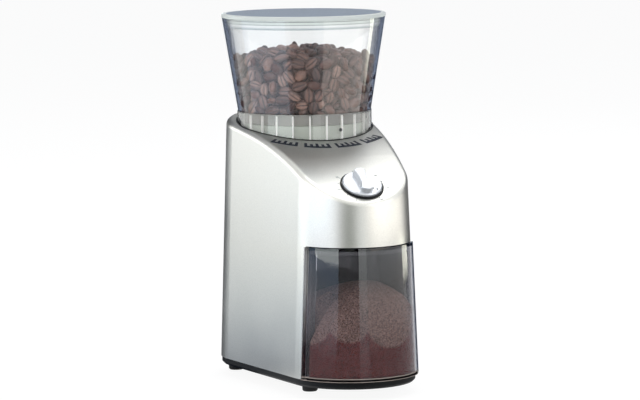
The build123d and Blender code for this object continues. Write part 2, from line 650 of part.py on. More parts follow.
def idler_gear():
    """Compound gear: the large wheel meets the motor's pinion, the small one the main gear."""
    large = gear(IDLER_TEETH, *IDLER_GEAR_Z, IDLER_PIN_R + RUN,
                 meshing_phase(IDLER_TEETH, PINION_TEETH, PINION_PHASE, IDLER_TO_PINION), IDLER_X, IDLER_Y)
    small = gear(IDLER_SMALL_TEETH, IDLER_GEAR_Z[1], IDLER_TOP_Z, IDLER_PIN_R + RUN,
                 meshing_phase(IDLER_SMALL_TEETH, MAIN_TEETH, MAIN_PHASE, IDLER_TO_MAIN), IDLER_X, IDLER_Y)
    return large + small


def idler_pin():
    return tube(IDLER_PIN_R, 0, GEARBOX_LOW_Z, CHAMBER_FLOOR_Z - 1, IDLER_X, IDLER_Y)


# ---------------------------------------------------------------- motor
def motor_screw_xs():
    return (-16.0, 16.0)


def motor_can():
    """Steel can of the motor, hung under the chassis plate."""
    can = tube(MOTOR_R, 0, MOTOR_FOOT_Z, GEARBOX_LOW_Z, 0, MOTOR_Y)
    can = fillet(can.edges().sort_by(Axis.Z)[0], 4)
    can -= tube(MOTOR_R - MOTOR_WALL, 0, MOTOR_FOOT_Z + MOTOR_WALL, GEARBOX_LOW_Z - 3, 0, MOTOR_Y)
    can += tube(SHAFT_R + 2.4, 0, GEARBOX_LOW_Z - 1, PLATE_TOP_Z, 0, MOTOR_Y)
    can += tube(SHAFT_R + 3, 0, MOTOR_FOOT_Z - 3, MOTOR_FOOT_Z + 3, 0, MOTOR_Y)
    can -= tube(SHAFT_R + RUN, 0, MOTOR_FOOT_Z - 1, PLATE_TOP_Z + 1, 0, MOTOR_Y)
    for turn in range(45, 405, 90):
        vent = Pos(0, MOTOR_Y, MOTOR_FOOT_Z + 14) * Rot(0, 0, turn) * Pos(MOTOR_R, 0, 0) * Box(8, 10, 5)
        can -= vent
    for x in motor_screw_xs():
        can -= screw_hole(x, MOTOR_Y, GEARBOX_LOW_Z - 4, GEARBOX_LOW_Z + 1)
    return can


def motor_stator():
    """Laminated field ring round the armature."""
    ring = tube(MOTOR_R - MOTOR_WALL, ARMATURE_R + 1, ARMATURE_Z[0], ARMATURE_Z[1], 0, MOTOR_Y)
    slots = [Pos(0, MOTOR_Y, 0) * Rot(0, 0, turn) * block(ARMATURE_R - 2, ARMATURE_R + 5, -4, 4,
                                                          ARMATURE_Z[0] - 1, ARMATURE_Z[1] + 1)
             for turn in (0, 90, 180, 270)]
    return ring - slots


def motor_armature():
    """Shaft, wound core and commutator turn as one."""
    core = tube(ARMATURE_R, 0, ARMATURE_Z[0], ARMATURE_Z[1], 0, MOTOR_Y)
    slots = [Pos(0, MOTOR_Y, 0) * Rot(0, 0, turn) * block(ARMATURE_R - 5, ARMATURE_R + 1, -1, 1,
                                                          ARMATURE_Z[0] - 1, ARMATURE_Z[1] + 1)
             for turn in range(0, 360, 36)]
    shaft = tube(SHAFT_R, 0, MOTOR_FOOT_Z - 0.5, IDLER_GEAR_Z[1] + 1, 0, MOTOR_Y)
    commutator = tube(COMMUTATOR_R, 0, ARMATURE_Z[0] - 10, ARMATURE_Z[0] - 2, 0, MOTOR_Y)
    return (core - slots) + shaft + commutator


def motor_pinion():
    return gear(PINION_TEETH, IDLER_GEAR_Z[0] - 1, IDLER_GEAR_Z[1] + 1, SHAFT_R, PINION_PHASE, 0, MOTOR_Y)


def motor_screws():
    return Compound([screw(x, MOTOR_Y, PLATE_TOP_Z, MOTOR_SCREW_L).solid() for x in motor_screw_xs()])


# ---------------------------------------------------------------- spindle and burrs
def spindle():
    """Stepped steel shaft from the lower bush to the burr."""
    foot = GEARBOX_LOW_Z + 0.5
    rod = turned([(0, foot), (SPINDLE_LOW_R, foot), (SPINDLE_LOW_R, MAIN_GEAR_Z[0]),
                  (SPINDLE_R, MAIN_GEAR_Z[0]), (SPINDLE_R, SWEEPER_FOOT_Z), (BURR_SEAT_R, SWEEPER_FOOT_Z),
                  (BURR_SEAT_R, BURR_TOP_Z), (0, BURR_TOP_Z)])
    return rod - tube(BOLT_R + SCREW_GAP, 0, BURR_TOP_Z - BURR_BOLT_L - 2, BURR_TOP_Z + 1)


def spindle_bushes():
    """Bronze bushes in the chassis plate and the chamber floor."""
    lower = tube(SPINDLE_LOW_R + 2, SPINDLE_LOW_R + RUN, GEARBOX_LOW_Z, PLATE_TOP_Z + 1)
    upper = tube(SPINDLE_R + 3, SPINDLE_R + RUN, GEARBOX_TOP_Z - 3, CHAMBER_FLOOR_Z)
    return Compound([lower.solid(), upper.solid()])


def sweeper_disc():
    """Turning floor that sweeps the grounds round to the outlet."""
    disc = tube(CHAMBER_BORE - 1.5, BURR_SEAT_R, SWEEPER_FOOT_Z, SWEEPER_FOOT_Z + SWEEPER_H)
    disc += tube(BURR_R - 6, BURR_SEAT_R, SWEEPER_FOOT_Z, BURR_FOOT_Z)
    for turn in (0, 120, 240):
        disc += Pos(0, AXIS_Y, 0) * Rot(0, 0, turn) * block(
            BURR_R - 7, CHAMBER_BORE - 1.5, -1.2, 1.2, SWEEPER_FOOT_Z, BURR_FOOT_Z)
    return disc


def burr_cutter(length, depth, width, lean):
    """A V-shaped cutter lying along +Y, its edge depth below the surface at Z 0."""
    face = Plane.XZ * make_face(Polyline((-width / 2, 2), (0, -depth), (width / 2, 2), close=True))
    return Rot(0, 0, lean) * extrude(face, amount=length / 2, both=True)


def cone_surface(radius, z, slope, turn):
    """Frame on a cone's surface: Y runs up the cone and Z points out of it."""
    return (Pos(0, AXIS_Y, 0) * Rot(0, 0, turn) * Pos(radius, 0, z)
            * Rot(0, 0, 90) * Rot(90 - slope, 0, 0))


def lower_burr():
    """Steel cone: coarse slanted flutes break the beans and fine teeth near the foot grind them."""
    cone = turned([(BURR_SEAT_R, BURR_FOOT_Z), (BURR_R, BURR_FOOT_Z), (BURR_R, BURR_FOOT_Z + 2),
                   (BURR_TOP_R, BURR_TOP_Z), (BURR_SEAT_R, BURR_TOP_Z)])
    slope = degrees(atan2(BURR_R - BURR_TOP_R, BURR_H - 2))
    coarse = burr_cutter(BURR_H, 3.0, 6.5, 20)
    fine = burr_cutter(9, 0.9, 3.0, 20)
    upper_z = BURR_TOP_Z - 7
    upper_r = BURR_TOP_R + 7 * tan(radians(slope))
    cutters = [cone_surface(upper_r, upper_z, slope, 360 * i / COARSE_TEETH) * coarse
               for i in range(COARSE_TEETH)]
    cutters += [cone_surface(BURR_R - 0.7, BURR_FOOT_Z + 3.5, slope, 360 * i / FINE_TEETH) * fine
                for i in range(FINE_TEETH)]
    return cone - cutters


def ring_burr():
    """Steel ring round the cone, toothed inside."""
    top = RING_BURR_TOP_Z
    ring = turned([(RING_BURR_FOOT_R, RING_BURR_FOOT_Z), (RING_BURR_R, RING_BURR_FOOT_Z),
                   (RING_BURR_R, top), (RING_BURR_TOP_R, top)])
    slope = degrees(atan2(RING_BURR_FOOT_R - RING_BURR_TOP_R, RING_BURR_H))
    tooth = burr_cutter(2 * RING_BURR_H, 1.4, 3.4, 12)
    middle_r = (RING_BURR_FOOT_R + RING_BURR_TOP_R) / 2
    middle_z = (RING_BURR_FOOT_Z + top) / 2
    teeth = FINE_TEETH - 8
    cutters = [cone_surface(middle_r, middle_z, slope, 360 * i / teeth) * Rot(0, 180, 0) * tooth
               for i in range(teeth)]
    ring -= cutters
    for x, y in burr_screw_places():
        ring -= screw_hole(x, y, top - 9, top + 1)
    return ring


def burr_bolt():
    """Hexagon bolt that holds the cone down on the spindle."""
    head = Pos(0, AXIS_Y, BURR_TOP_Z) * extrude(RegularPolygon(6.5, 6), 4)
    shank = tube(BOLT_R, 0, BURR_TOP_Z - BURR_BOLT_L, BURR_TOP_Z + 1)
    return head + shank


def burr_screw_places():
    radius = (INLET_R + RING_BURR_R) / 2
    return [polar(radius, turn)[:2] for turn in (90, 210, 330)]


def burr_carrier():
    """Holder of the ring burr: it screws up and down in the chamber as the ring turns."""
    shoulder = RING_BURR_TOP_Z + 0.1
    holder = turned([(RING_BURR_R + 0.1, CARRIER_FOOT_Z), (CARRIER_R, CARRIER_FOOT_Z),
                     (CARRIER_R, CARRIER_FLANGE_Z), (CARRIER_FLANGE_R, CARRIER_FLANGE_Z),
                     (CARRIER_FLANGE_R, CARRIER_TOP_Z), (INLET_R + 2, CARRIER_TOP_Z),
                     (INLET_R, CARRIER_TOP_Z - 2), (INLET_R, shoulder), (RING_BURR_R + 0.1, shoulder)])
    for turn in (0, 180):
        holder -= Pos(0, AXIS_Y, 0) * Rot(0, 0, turn) * block(
            CARRIER_FLANGE_R - KEY_D, CARRIER_FLANGE_R + 1, -KEY_W / 2 - GAP, KEY_W / 2 + GAP,
            CARRIER_FLANGE_Z - 1, CARRIER_TOP_Z + 1)
    for x, y in burr_screw_places():
        holder -= screw_hole(x, y, shoulder - 1, CARRIER_TOP_Z + 1)
    return holder


def burr_screws():
    return Compound([screw(x, y, CARRIER_TOP_Z, BURR_SCREW_L).solid() for x, y in burr_screw_places()])


def adjuster_ring():
    """Ring under the hopper that turns with it and drives the burr carrier by two keys."""
    ring = turned([(RING_BORE, SEAT_Z + GAP), (RING_R, SEAT_Z + GAP), (RING_R, RING_TOP_Z),
                   (RING_R - 3, RING_TOP_Z), (RING_R - 3, RING_TOP_Z - 8), (RING_BORE, RING_TOP_Z - 12)])
    for turn in (0, 180):
        ring += Pos(0, AXIS_Y, 0) * Rot(0, 0, turn) * block(
            CARRIER_FLANGE_R - KEY_D + GAP, RING_BORE + 1, -KEY_W / 2, KEY_W / 2,
            SEAT_Z + GAP + 0.2, CARRIER_TOP_Z + 2)
    notches = [Pos(*polar(RING_R - 1.5, turn, RING_TOP_Z)) * Rot(0, 0, turn) * Box(6, 7, 4)
               for turn in (30, 90, 150)]
    return ring - notches


# ---------------------------------------------------------------- hopper, collar and lid
def bean_hopper():
    """Clear flared wall round the beans."""
    return turned([
        (HOPPER_FOOT_R, LEDGE_Z), (HOPPER_RIM_R, HOPPER_RIM_Z), (HOPPER_RIM_R - HOPPER_WALL, HOPPER_RIM_Z),
        (HOPPER_FOOT_R - HOPPER_WALL, LEDGE_Z)])


def floor_height(radius):
    """Height of the hopper's sloping floor."""
    edge = HOPPER_FOOT_R - HOPPER_WALL
    slope = FUNNEL_DROP / (edge - THROAT_R)
    return LEDGE_Z - (edge - radius) * slope, FLOOR_WALL * sqrt(1 + slope ** 2)


def hopper_floor():
    """Moulded floor under the clear wall: a ledge, a funnel and a throat over the burrs."""
    edge = HOPPER_FOOT_R - HOPPER_WALL
    throat = THROAT_R + THROAT_WALL
    rim = COLLAR_BORE - RIB_D - RUN
    seat_out = RING_R - 0.8
    seat_in = seat_out - FLOOR_SEAT_W

    def under(radius):
        height, thickness = floor_height(radius)
        return height - thickness

    return turned([
        (COLLAR_BORE, LEDGE_Z), (edge, LEDGE_Z), (THROAT_R, floor_height(THROAT_R)[0]), (THROAT_R, THROAT_Z),
        (throat, THROAT_Z), (throat, under(throat)), (seat_in, under(seat_in)), (seat_in, RING_TOP_Z + GAP),
        (seat_out, RING_TOP_Z + GAP), (seat_out, FLOOR_RIM_Z), (rim, FLOOR_RIM_Z),
        (rim, LEDGE_Z - LEDGE_FLANGE), (COLLAR_BORE, LEDGE_Z - LEDGE_FLANGE)])


def hopper_collar():
    """Clear ribbed band under the hopper that dips into the housing and turns in it."""
    band = tube(COLLAR_R, COLLAR_BORE, COLLAR_FOOT_Z, LEDGE_Z)
    rib = block(COLLAR_BORE - RIB_D, COLLAR_BORE + COLLAR_WALL / 4, -RIB_W / 2, RIB_W / 2,
                COLLAR_FOOT_Z + RIB_D, LEDGE_Z - LEDGE_FLANGE)
    return band + [Pos(0, AXIS_Y, 0) * Rot(0, 0, 360 * i / COLLAR_RIBS) * rib for i in range(COLLAR_RIBS)]


def collar_seal():
    """Dark ring that lines the housing's opening, cut to the slope of the top."""
    ring = tube(SEAL_R - RUN, SEAL_BORE, SEAT_Z, HIGH)
    return ring & under_top(SEAL_PROUD)


def hopper_lid():
    """Dark clear panel set flush into the lid's rim."""
    top = HOPPER_RIM_Z + LID_H
    return tube(LID_R - LID_RIM_W, 0, top - LID_PLATE, top)


def lid_rim():
    """Clear rim of the lid, with a skirt that drops inside the hopper."""
    foot = HOPPER_RIM_Z + GAP
    top = HOPPER_RIM_Z + LID_H
    skirt = HOPPER_RIM_R - HOPPER_WALL - LID_SKIRT_GAP
    lean = LID_SKIRT_H * (HOPPER_RIM_R - HOPPER_FOOT_R) / (HOPPER_RIM_Z - LEDGE_Z)
    inner = LID_R - LID_RIM_W
    return turned([
        (skirt - LID_SKIRT_W, foot), (skirt - LID_SKIRT_W - lean, foot - LID_SKIRT_H),
        (skirt - lean, foot - LID_SKIRT_H), (skirt, foot), (LID_R, foot), (LID_R, top - LID_EASE),
        (LID_R - LID_EASE, top), (inner, top), (inner, foot)])


# ---------------------------------------------------------------- interlock
def interlock_switch():
    """Micro switch under the seat: it lets the motor run only with the hopper on."""
    top = SEAT_Z - SEAT_H
    width, depth, height = SWITCH_SIZE
    front = PLUNGER_Y - SWITCH_FRONT
    body = block(-width / 2, width / 2, front, front + depth, top - height, top)
    foot = PLUNGER_TOP_Z - PLUNGER_L - PLUNGER_TRAVEL - GAP
    return body - tube(PLUNGER_R + GAP, 0, foot, top + 1, 0, PLUNGER_Y)


def interlock_plunger():
    """Pin that the collar's foot presses down."""
    pin = tube(PLUNGER_R, 0, PLUNGER_TOP_Z - PLUNGER_L, PLUNGER_TOP_Z, 0, PLUNGER_Y)
    return fillet(pin.edges().sort_by(Axis.Z)[-1], PLUNGER_R / 2)


# ---------------------------------------------------------------- timer
def timer_body():
    """Clockwork timer behind the slope."""
    drum = on_dial(Cylinder(TIMER_R, TIMER_H), -WALL - TIMER_GAP - TIMER_H / 2)
    drum += on_dial(Cylinder(TIMER_SHAFT_R + TIMER_NECK, 2 * TIMER_GAP), -WALL)
    return drum - on_dial(Cylinder(TIMER_SHAFT_R + RUN, TIMER_H), -TIMER_H / 2 + 1)


def timer_shaft():
    """Shaft from the clockwork up into the knob."""
    top = KNOB_H
    foot = WALL - TIMER_H
    return on_dial(Cylinder(TIMER_SHAFT_R, top - foot), (top + foot) / 2)


def timer_bezel():
    """Thin ring that frames the knob."""
    ring = Cylinder(BEZEL_R, 2 * BEZEL_H) - Cylinder(KNOB_R + BEZEL_GAP, 3 * BEZEL_H)
    return on_dial(ring)


def grip_outline():
    """Bar with round ends and a waist."""
    end = GRIP_L / 2
    shoulder = end - GRIP_W / 4
    half = GRIP_W / 2
    right = ThreePointArc((shoulder, -half), (end, 0), (shoulder, half))
    back = ThreePointArc((shoulder, half), (0, GRIP_WAIST / 2), (-shoulder, half))
    left = ThreePointArc((-shoulder, half), (-end, 0), (-shoulder, -half))
    front = ThreePointArc((-shoulder, -half), (0, -GRIP_WAIST / 2), (shoulder, -half))
    return make_face([right, back, left, front])


def timer_knob():
    """Round knob with a waisted bar grip across it."""
    disc = Pos(0, 0, KNOB_H / 2) * Cylinder(KNOB_R, KNOB_H)
    disc = chamfer(disc.edges().sort_by(Axis.Z)[-1], GRIP_EASE)
    grip = extrude(Rot(0, 0, KNOB_TURN) * grip_outline(), KNOB_H + GRIP_H, taper=GRIP_DRAFT)
    grip = fillet(grip.faces().sort_by(Axis.Z)[-1].edges(), GRIP_EASE)
    knob = disc + (grip & Cylinder(KNOB_R, 4 * GRIP_H))
    knob -= Cylinder(TIMER_SHAFT_R, 2 * (KNOB_H - KNOB_GAP))
    return on_dial(knob, KNOB_GAP)


# ---------------------------------------------------------------- bin
def bin_outer(grow, z0, z1):
    """Outer form of the bin: its front follows the housing's nose, its rear is narrower."""
    front = drafted(BIN_PROUD + grow, z0, z1)
    front &= block(-HALF_WIDTH, HALF_WIDTH, FRONT_Y - 10, BIN_SPLIT_Y - 0.4 + min(grow, 0), z0, z1)
    return front + bin_block(grow, z0, z1)


def bin_tub():
    """Clear drawer that catches the grounds."""
    rim = BIN_TOP_Z - BIN_LID_H
    tub = bin_outer(0, HOUSING_Z, rim)
    return tub - bin_outer(-BIN_WALL, HOUSING_Z + BIN_WALL, rim + 1)


def bin_lid():
    """Lid of the drawer, open under the chute."""
    rim = BIN_TOP_Z - BIN_LID_H
    lid = bin_outer(0, rim, BIN_TOP_Z)
    low = rim - BIN_LID_LIP
    inset = BIN_WALL + BIN_LID_LIP_GAP
    lid += bin_outer(-inset, low, rim) - bin_outer(-inset - BIN_LID_LIP_W, low - 1, rim)
    return lid - block(-CHUTE_X - 2, CHUTE_X + 2, DROP_Y[0] - 2, DROP_Y[1] + 1, low - 1, BIN_TOP_Z + 1)


PARTS = [
    housing_shell, base_tray, rubber_feet, base_screws, cord_inlet, bay_liner, chassis, grinding_chamber,
    gearbox_screws, ground_chute, main_gear, idler_gear, idler_pin, motor_can, motor_stator, motor_armature,
    motor_pinion, motor_screws, spindle, spindle_bushes, sweeper_disc, lower_burr, ring_burr, burr_bolt,
    burr_carrier, burr_screws, adjuster_ring, bean_hopper, hopper_floor, hopper_collar,
    collar_seal, hopper_lid, lid_rim, interlock_switch, interlock_plunger, timer_body, timer_shaft,
    timer_bezel, timer_knob, bin_tub, bin_lid,
]

os.makedirs("parts", exist_ok=True)
for make in PARTS:
    export_step(make(), f"parts/{make.__name__}.step")
print("axes", "motor", (0, MOTOR_Y), "idler", (IDLER_X, IDLER_Y), "dial", (0, DIAL_Y, DIAL_Z), DIAL_SLOPE)
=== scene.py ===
# %% [markdown]
# A burr coffee grinder: a satin silver housing with a sloping top, a clear hopper full of beans,
# a timer dial on the slope, and a clear drawer of ground coffee at the front. The solids come
# ready-made in a fixed frame. This lesson gives them their finishes and adds what a solid modeller
# leaves out: printed scales, the beans and the grounds.

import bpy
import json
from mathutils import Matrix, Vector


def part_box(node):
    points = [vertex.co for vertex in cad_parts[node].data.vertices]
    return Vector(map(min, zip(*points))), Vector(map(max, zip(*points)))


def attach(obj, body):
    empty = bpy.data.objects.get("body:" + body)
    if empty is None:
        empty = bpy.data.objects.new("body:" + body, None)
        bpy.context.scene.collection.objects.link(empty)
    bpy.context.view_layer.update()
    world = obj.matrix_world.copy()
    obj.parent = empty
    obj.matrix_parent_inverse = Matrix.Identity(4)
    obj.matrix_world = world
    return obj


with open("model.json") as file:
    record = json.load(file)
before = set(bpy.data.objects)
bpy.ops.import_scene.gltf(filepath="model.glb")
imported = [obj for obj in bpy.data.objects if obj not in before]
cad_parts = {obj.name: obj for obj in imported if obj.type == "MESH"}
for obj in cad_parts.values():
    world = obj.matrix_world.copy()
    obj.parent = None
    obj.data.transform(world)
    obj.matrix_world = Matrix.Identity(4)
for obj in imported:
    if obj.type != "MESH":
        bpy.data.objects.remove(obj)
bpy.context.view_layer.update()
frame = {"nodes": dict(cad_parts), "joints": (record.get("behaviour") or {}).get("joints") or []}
nodes = frame["nodes"]
print("solids loaded:", len(nodes))

# %% Python modules and units
import json
from math import atan2, cos, degrees, pi, radians, sin, sqrt

import bmesh
import bpy
import numpy as np
from mathutils import Matrix, Vector
from mathutils.bvhtree import BVHTree

MM = 0.001
HOPPER_AXIS_Y = 40.5 * MM


def new_object(name, data):
    """An object made from its data and put into the scene."""
    made = bpy.data.objects.new(name, data)
    bpy.context.scene.collection.objects.link(made)
    return made


print("lengths below are in metres; MM turns millimetres into metres")

# %% [markdown]
# ## Camera
# A long lens from well back keeps the upright lines upright, as a catalogue does. It stands to the
# left of the front, a little above the lid, so the side wall and the rounded front both show.

# %% Camera
CAMERA_AZIMUTH = radians(-20.0)
CAMERA_AWAY = 2.6017
CAMERA_HEIGHT = 0.4131
CAMERA_PITCH = radians(6.143)
CAMERA_ROLL = radians(-0.617)
CAMERA_AIM_Y = -0.0055

lens = bpy.data.cameras.new("camera")
lens.lens = 202.8
lens.sensor_width = 36.0
lens.shift_x = -0.01078
lens.clip_end = 50.0
camera = new_object("camera", lens)
camera.matrix_world = (
    Matrix.Translation((sin(CAMERA_AZIMUTH) * CAMERA_AWAY,
                        CAMERA_AIM_Y - cos(CAMERA_AZIMUTH) * CAMERA_AWAY, CAMERA_HEIGHT))
    @ Matrix.Rotation(CAMERA_AZIMUTH, 4, "Z")
    @ Matrix.Rotation(pi / 2 - CAMERA_PITCH, 4, "X")
    @ Matrix.Rotation(CAMERA_ROLL, 4, "Z"))
bpy.context.scene.camera = camera
bpy.context.scene.view_settings.view_transform = "Standard"
print("camera at", [round(v, 3) for v in camera.location], "lens", lens.lens)

# %% [markdown]
# ## Nodes and colours
# Every finish is a small tree of shader nodes. One function adds a node, sets it and links it, so a
# tree reads like a list. Colours are written as hex values, the way a paint chart gives them, and
# one function turns them to the linear values that the shader wants.


# %% Helpers for nodes and colours
def linear(hex_colour, alpha=1.0):
    """An sRGB hex colour as linear red, green, blue and alpha."""
    parts = [int(hex_colour[i:i + 2], 16) / 255 for i in (1, 3, 5)]
    return tuple(v / 12.92 if v <= 0.04045 else ((v + 0.055) / 1.055) ** 2.4 for v in parts) + (alpha,)


def add(tree, kind, inputs=None, stops=(), **settings):
    """Add a node, set its properties and its ramp's (position, hex colour) stops, and feed its inputs."""
    made = tree.nodes.new(kind)
    for name, value in settings.items():
        setattr(made, name, value)
    for name, value in (inputs or {}).items():
        if isinstance(value, bpy.types.NodeSocket):
            tree.links.new(value, made.inputs[name])
        else:
            made.inputs[name].default_value = value
    for i, (place, colour) in enumerate(stops):
        bar = made.color_ramp.elements
        stop = bar[i] if i < len(bar) else bar.new(place)
        stop.position, stop.color = place, linear(colour)
    return made


def new_material(name):
    """An empty node material and its tree."""
    made = bpy.data.materials.new(name)
    made.use_nodes = True
    made.node_tree.nodes.clear()
    return made, made.node_tree


print("helpers ready; mid grey is", [round(v, 3) for v in linear("#808080")[:3]])

# %% [markdown]
# ## Room, floor and lamps
# A silver object shows whatever stands round it, so the light is that of a white tent: white all
# round, large soft lamps at both sides and above, and dark boards where the metal should get its
# dark edges. The boards are seen only in reflections. The lamps are kept at a level where a colour
# renders about as it is written. Azimuths run from the front, 0, to the right side, 90.

# %% Room
def seen_directly(tree):
    """A socket that is 1 for rays from the camera, a reflection or a clear wall, and 0 for light."""
    rays = add(tree, "ShaderNodeLightPath")
    either = add(tree, "ShaderNodeMath", {0: rays.outputs["Is Camera Ray"], 1: rays.outputs["Is Glossy Ray"]},
                 operation="MAXIMUM")
    return add(tree, "ShaderNodeMath", {0: either.outputs[0], 1: rays.outputs["Is Transmission Ray"]},
               operation="MAXIMUM").outputs[0]


world = bpy.data.worlds.new("studio")
bpy.context.scene.world = world
world.use_nodes = True
tree = world.node_tree
tree.nodes.clear()
fill = add(tree, "ShaderNodeBackground", {"Color": linear("#F2F5FA"), "Strength": 0.42})
white = add(tree, "ShaderNodeBackground", {"Color": (1, 1, 1, 1), "Strength": 1.0})
both = add(tree, "ShaderNodeMixShader", {0: seen_directly(tree), 1: fill.outputs[0], 2: white.outputs[0]})
add(tree, "ShaderNodeOutputWorld", {"Surface": both.outputs[0]})
print("room: white where it is seen, softer where it lights")


# %% Floor
def link_mesh(name, vertices, faces, smooth=False):
    """A mesh object from points and faces, with its normals made to point outwards."""
    mesh = bpy.data.meshes.new(name)
    mesh.from_pydata([tuple(v) for v in vertices], [], faces)
    work = bmesh.new()
    work.from_mesh(mesh)
    bmesh.ops.recalc_face_normals(work, faces=work.faces)
    work.to_mesh(mesh)
    work.free()
    mesh.polygons.foreach_set("use_smooth", [smooth] * len(mesh.polygons))
    return new_object(name, mesh)


# Where the floor is seen it glows nearly white; the part that stays paper keeps the object's shadow.
FLOOR_GLOW_SHARE = 0.86
floor_finish, tree = new_material("floor_paper")
share = add(tree, "ShaderNodeMath", {0: seen_directly(tree), 1: FLOOR_GLOW_SHARE}, operation="MULTIPLY")
paper = add(tree, "ShaderNodeBsdfDiffuse", {"Color": linear("#F4F4F4")})
glow = add(tree, "ShaderNodeEmission", {"Color": (1, 1, 1, 1), "Strength": 1.06})
both = add(tree, "ShaderNodeMixShader", {0: share.outputs[0], 1: paper.outputs[0], 2: glow.outputs[0]})
add(tree, "ShaderNodeOutputMaterial", {"Surface": both.outputs[0]})

FLOOR_HALF = 14.0
floor = link_mesh("floor", [(x * FLOOR_HALF, y * FLOOR_HALF, 0)
                            for x, y in ((-1, -1), (1, -1), (1, 1), (-1, 1))], [(0, 1, 2, 3)])
floor.data.materials.append(floor_finish)
print("floor:", 2 * FLOOR_HALF, "m square")

# %% Lamps
AIM = Vector((0.0, 0.0, 0.13))


def place_at(azimuth, away, height=0.0):
    """A point at an azimuth in degrees, so far from the object's middle."""
    turn = radians(azimuth)
    return Vector((sin(turn) * away, -cos(turn) * away, height))


def softbox(name, azimuth, away, height, size, power, glossy=True):
    """A large area lamp, sized (width, height), that faces the object. One that isn't glossy lights
    the object but shows in no reflection."""
    lamp = bpy.data.lights.new(name, "AREA")
    lamp.shape = "RECTANGLE"
    lamp.size, lamp.size_y = size
    lamp.energy = power
    made = new_object(name, lamp)
    place = place_at(azimuth, away, height)
    made.matrix_world = Matrix.Translation(place) @ (place - AIM).to_track_quat("Z", "Y").to_matrix().to_4x4()
    made.visible_glossy = glossy


softbox("left_front", -74, 1.7, 0.9, (2.1, 1.5), 8.6)
softbox("right_front", 42, 1.8, 0.9, (1.3, 1.5), 6.6)
softbox("overhead", 0, 0.15, 1.9, (1.4, 1.4), 8.5)
softbox("over_rear", 138, 1.5, 2.4, (2.2, 1.4), 12.5)
softbox("rear_left", -131, 1.9, 0.45, (1.25, 0.7), 5.4)
softbox("rear_right", 120, 1.9, 0.8, (1.2, 1.4), 6.0)
softbox("front_fill", -26, 2.3, 0.45, (0.9, 0.6), 10.0, glossy=False)
print("lamps:", len(bpy.data.lights))


# %% Cards and boards
CARD_REACH = 2.5      # metres from the middle at which a card's ramp of colours ends


def ladder(steps):
    """Faces between points that come in pairs."""
    return [(2 * i, 2 * i + 1, 2 * i + 3, 2 * i + 2) for i in range(steps)]


def card(name, corners, faces, stops, strength=1.0):
    """A card that shows only in reflections, shaded by the distance in metres from the object's middle."""
    finish, tree = new_material(name + "_card")
    place = add(tree, "ShaderNodeTexCoord")
    level = add(tree, "ShaderNodeVectorMath",
                {0: place.outputs["Object"], 1: (1 / CARD_REACH, 1 / CARD_REACH, 0.0)}, operation="MULTIPLY")
    part = add(tree, "ShaderNodeVectorMath", {0: level.outputs[0]}, operation="LENGTH")
    tone = add(tree, "ShaderNodeValToRGB", {"Fac": part.outputs["Value"]},
               [(r / CARD_REACH, c) for r, c in stops])
    light = add(tree, "ShaderNodeEmission", {"Color": tone.outputs["Color"], "Strength": strength})
    add(tree, "ShaderNodeOutputMaterial", {"Surface": light.outputs[0]})
    made = link_mesh(name, corners, faces)
    made.data.materials.append(finish)
    for kind in ("camera", "diffuse", "transmission", "shadow", "volume_scatter"):
        setattr(made, "visible_" + kind, False)


def board(name, azimuth, away, foot, top, width, colour, strength=1.0):
    """An upright card round the object, from one height to another."""
    middle = place_at(azimuth, away)
    side = place_at(azimuth + 90, width / 2)
    corners = [middle + side * i + Vector((0, 0, z)) for i, z in ((-1, foot), (1, foot), (1, top), (-1, top))]
    card(name, corners, [(0, 1, 2, 3)], [(0.0, colour), (CARD_REACH, colour)], strength)


def strip(first, second, start, end, steps, height=0.0):
    """Part of a level ring: points and faces between two radii and two azimuths."""
    points = [place_at(turn, away, height)
              for turn in np.linspace(start, end, steps + 1) for away in (first, second)]
    return points, ladder(steps)


def apron(name, start, end, stops, strength=1.0, height=0.001):
    """A level card between two azimuths, and from the first stop's distance to the last."""
    ring = strip(stops[0][0], stops[-1][0], start, end, max(1, round((end - start) / 12)), height)
    card(name, *ring, stops, strength)


print("a card's colours run out to", CARD_REACH, "m")

# %% Upright boards
# Dark boards behind give the housing its dark edges and the lid its tone, and the one in front the
# soft band down the rounded nose.
board("rear_low", -175, 1.3, 0.0, 0.34, 1.3, "#0C1424")
board("rear_left_tall", -175, 1.3, 0.34, 0.8, 1.3, "#0C1424")
board("rear_left_high", -166, 1.3, 0.8, 1.45, 1.2, "#3A465C")
board("rear_middle", 152, 1.15, 0.15, 0.62, 0.95, "#A2ACBA")
board("rear_high", 152, 1.25, 0.62, 1.0, 1.4, "#141E32")
board("left_near", -156, 0.43, 0.0, 0.17, 0.16, "#3A4656")
board("right_rear", 124, 1.4, 0.0, 0.9, 1.4, "#26324A")
board("front_gap", -22, 2.2, 0.0, 1.1, 0.60, "#A6B0A4")
print("boards: 8")

# %% Level cards
# Low walls mirror the floor. A card that is dark near the object and pale further out makes the
# walls paler towards their tops, and the drawer's front gets its bands of haze from these.
apron("floor_rear", 150, 214, [(0.05, "#20283A"), (1.3, "#20283A")])
apron("floor_right_rear", 92, 150, [(0.05, "#20283A"), (1.4, "#26324A")])
apron("floor_rear_left", -144, -100, [(0.05, "#141C2C"), (0.3, "#4E5A6A"), (0.7, "#B0B9BD"),
                                      (1.2, "#F4F6F2"), (2.4, "#DCE0DE")], 2.2)
apron("floor_left", -100, -41, [(0.1, "#2A2D31"), (0.4, "#383842"), (0.65, "#9C9AA6"), (0.9, "#C0BCC8"),
                                (1.2, "#98A6B8"), (1.5, "#8AA0BC"), (2.1, "#8AA0BC")], 2.6)
apron("floor_front", -41, -6, [(0.1, "#141618"), (2.4, "#141618")])
apron("floor_right_near", -6, 8, [(0.1, "#2A2D31"), (0.7, "#747B80"), (1.4, "#C8CCCC"),
                                  (2.4, "#F0F4F4")], 3.4)
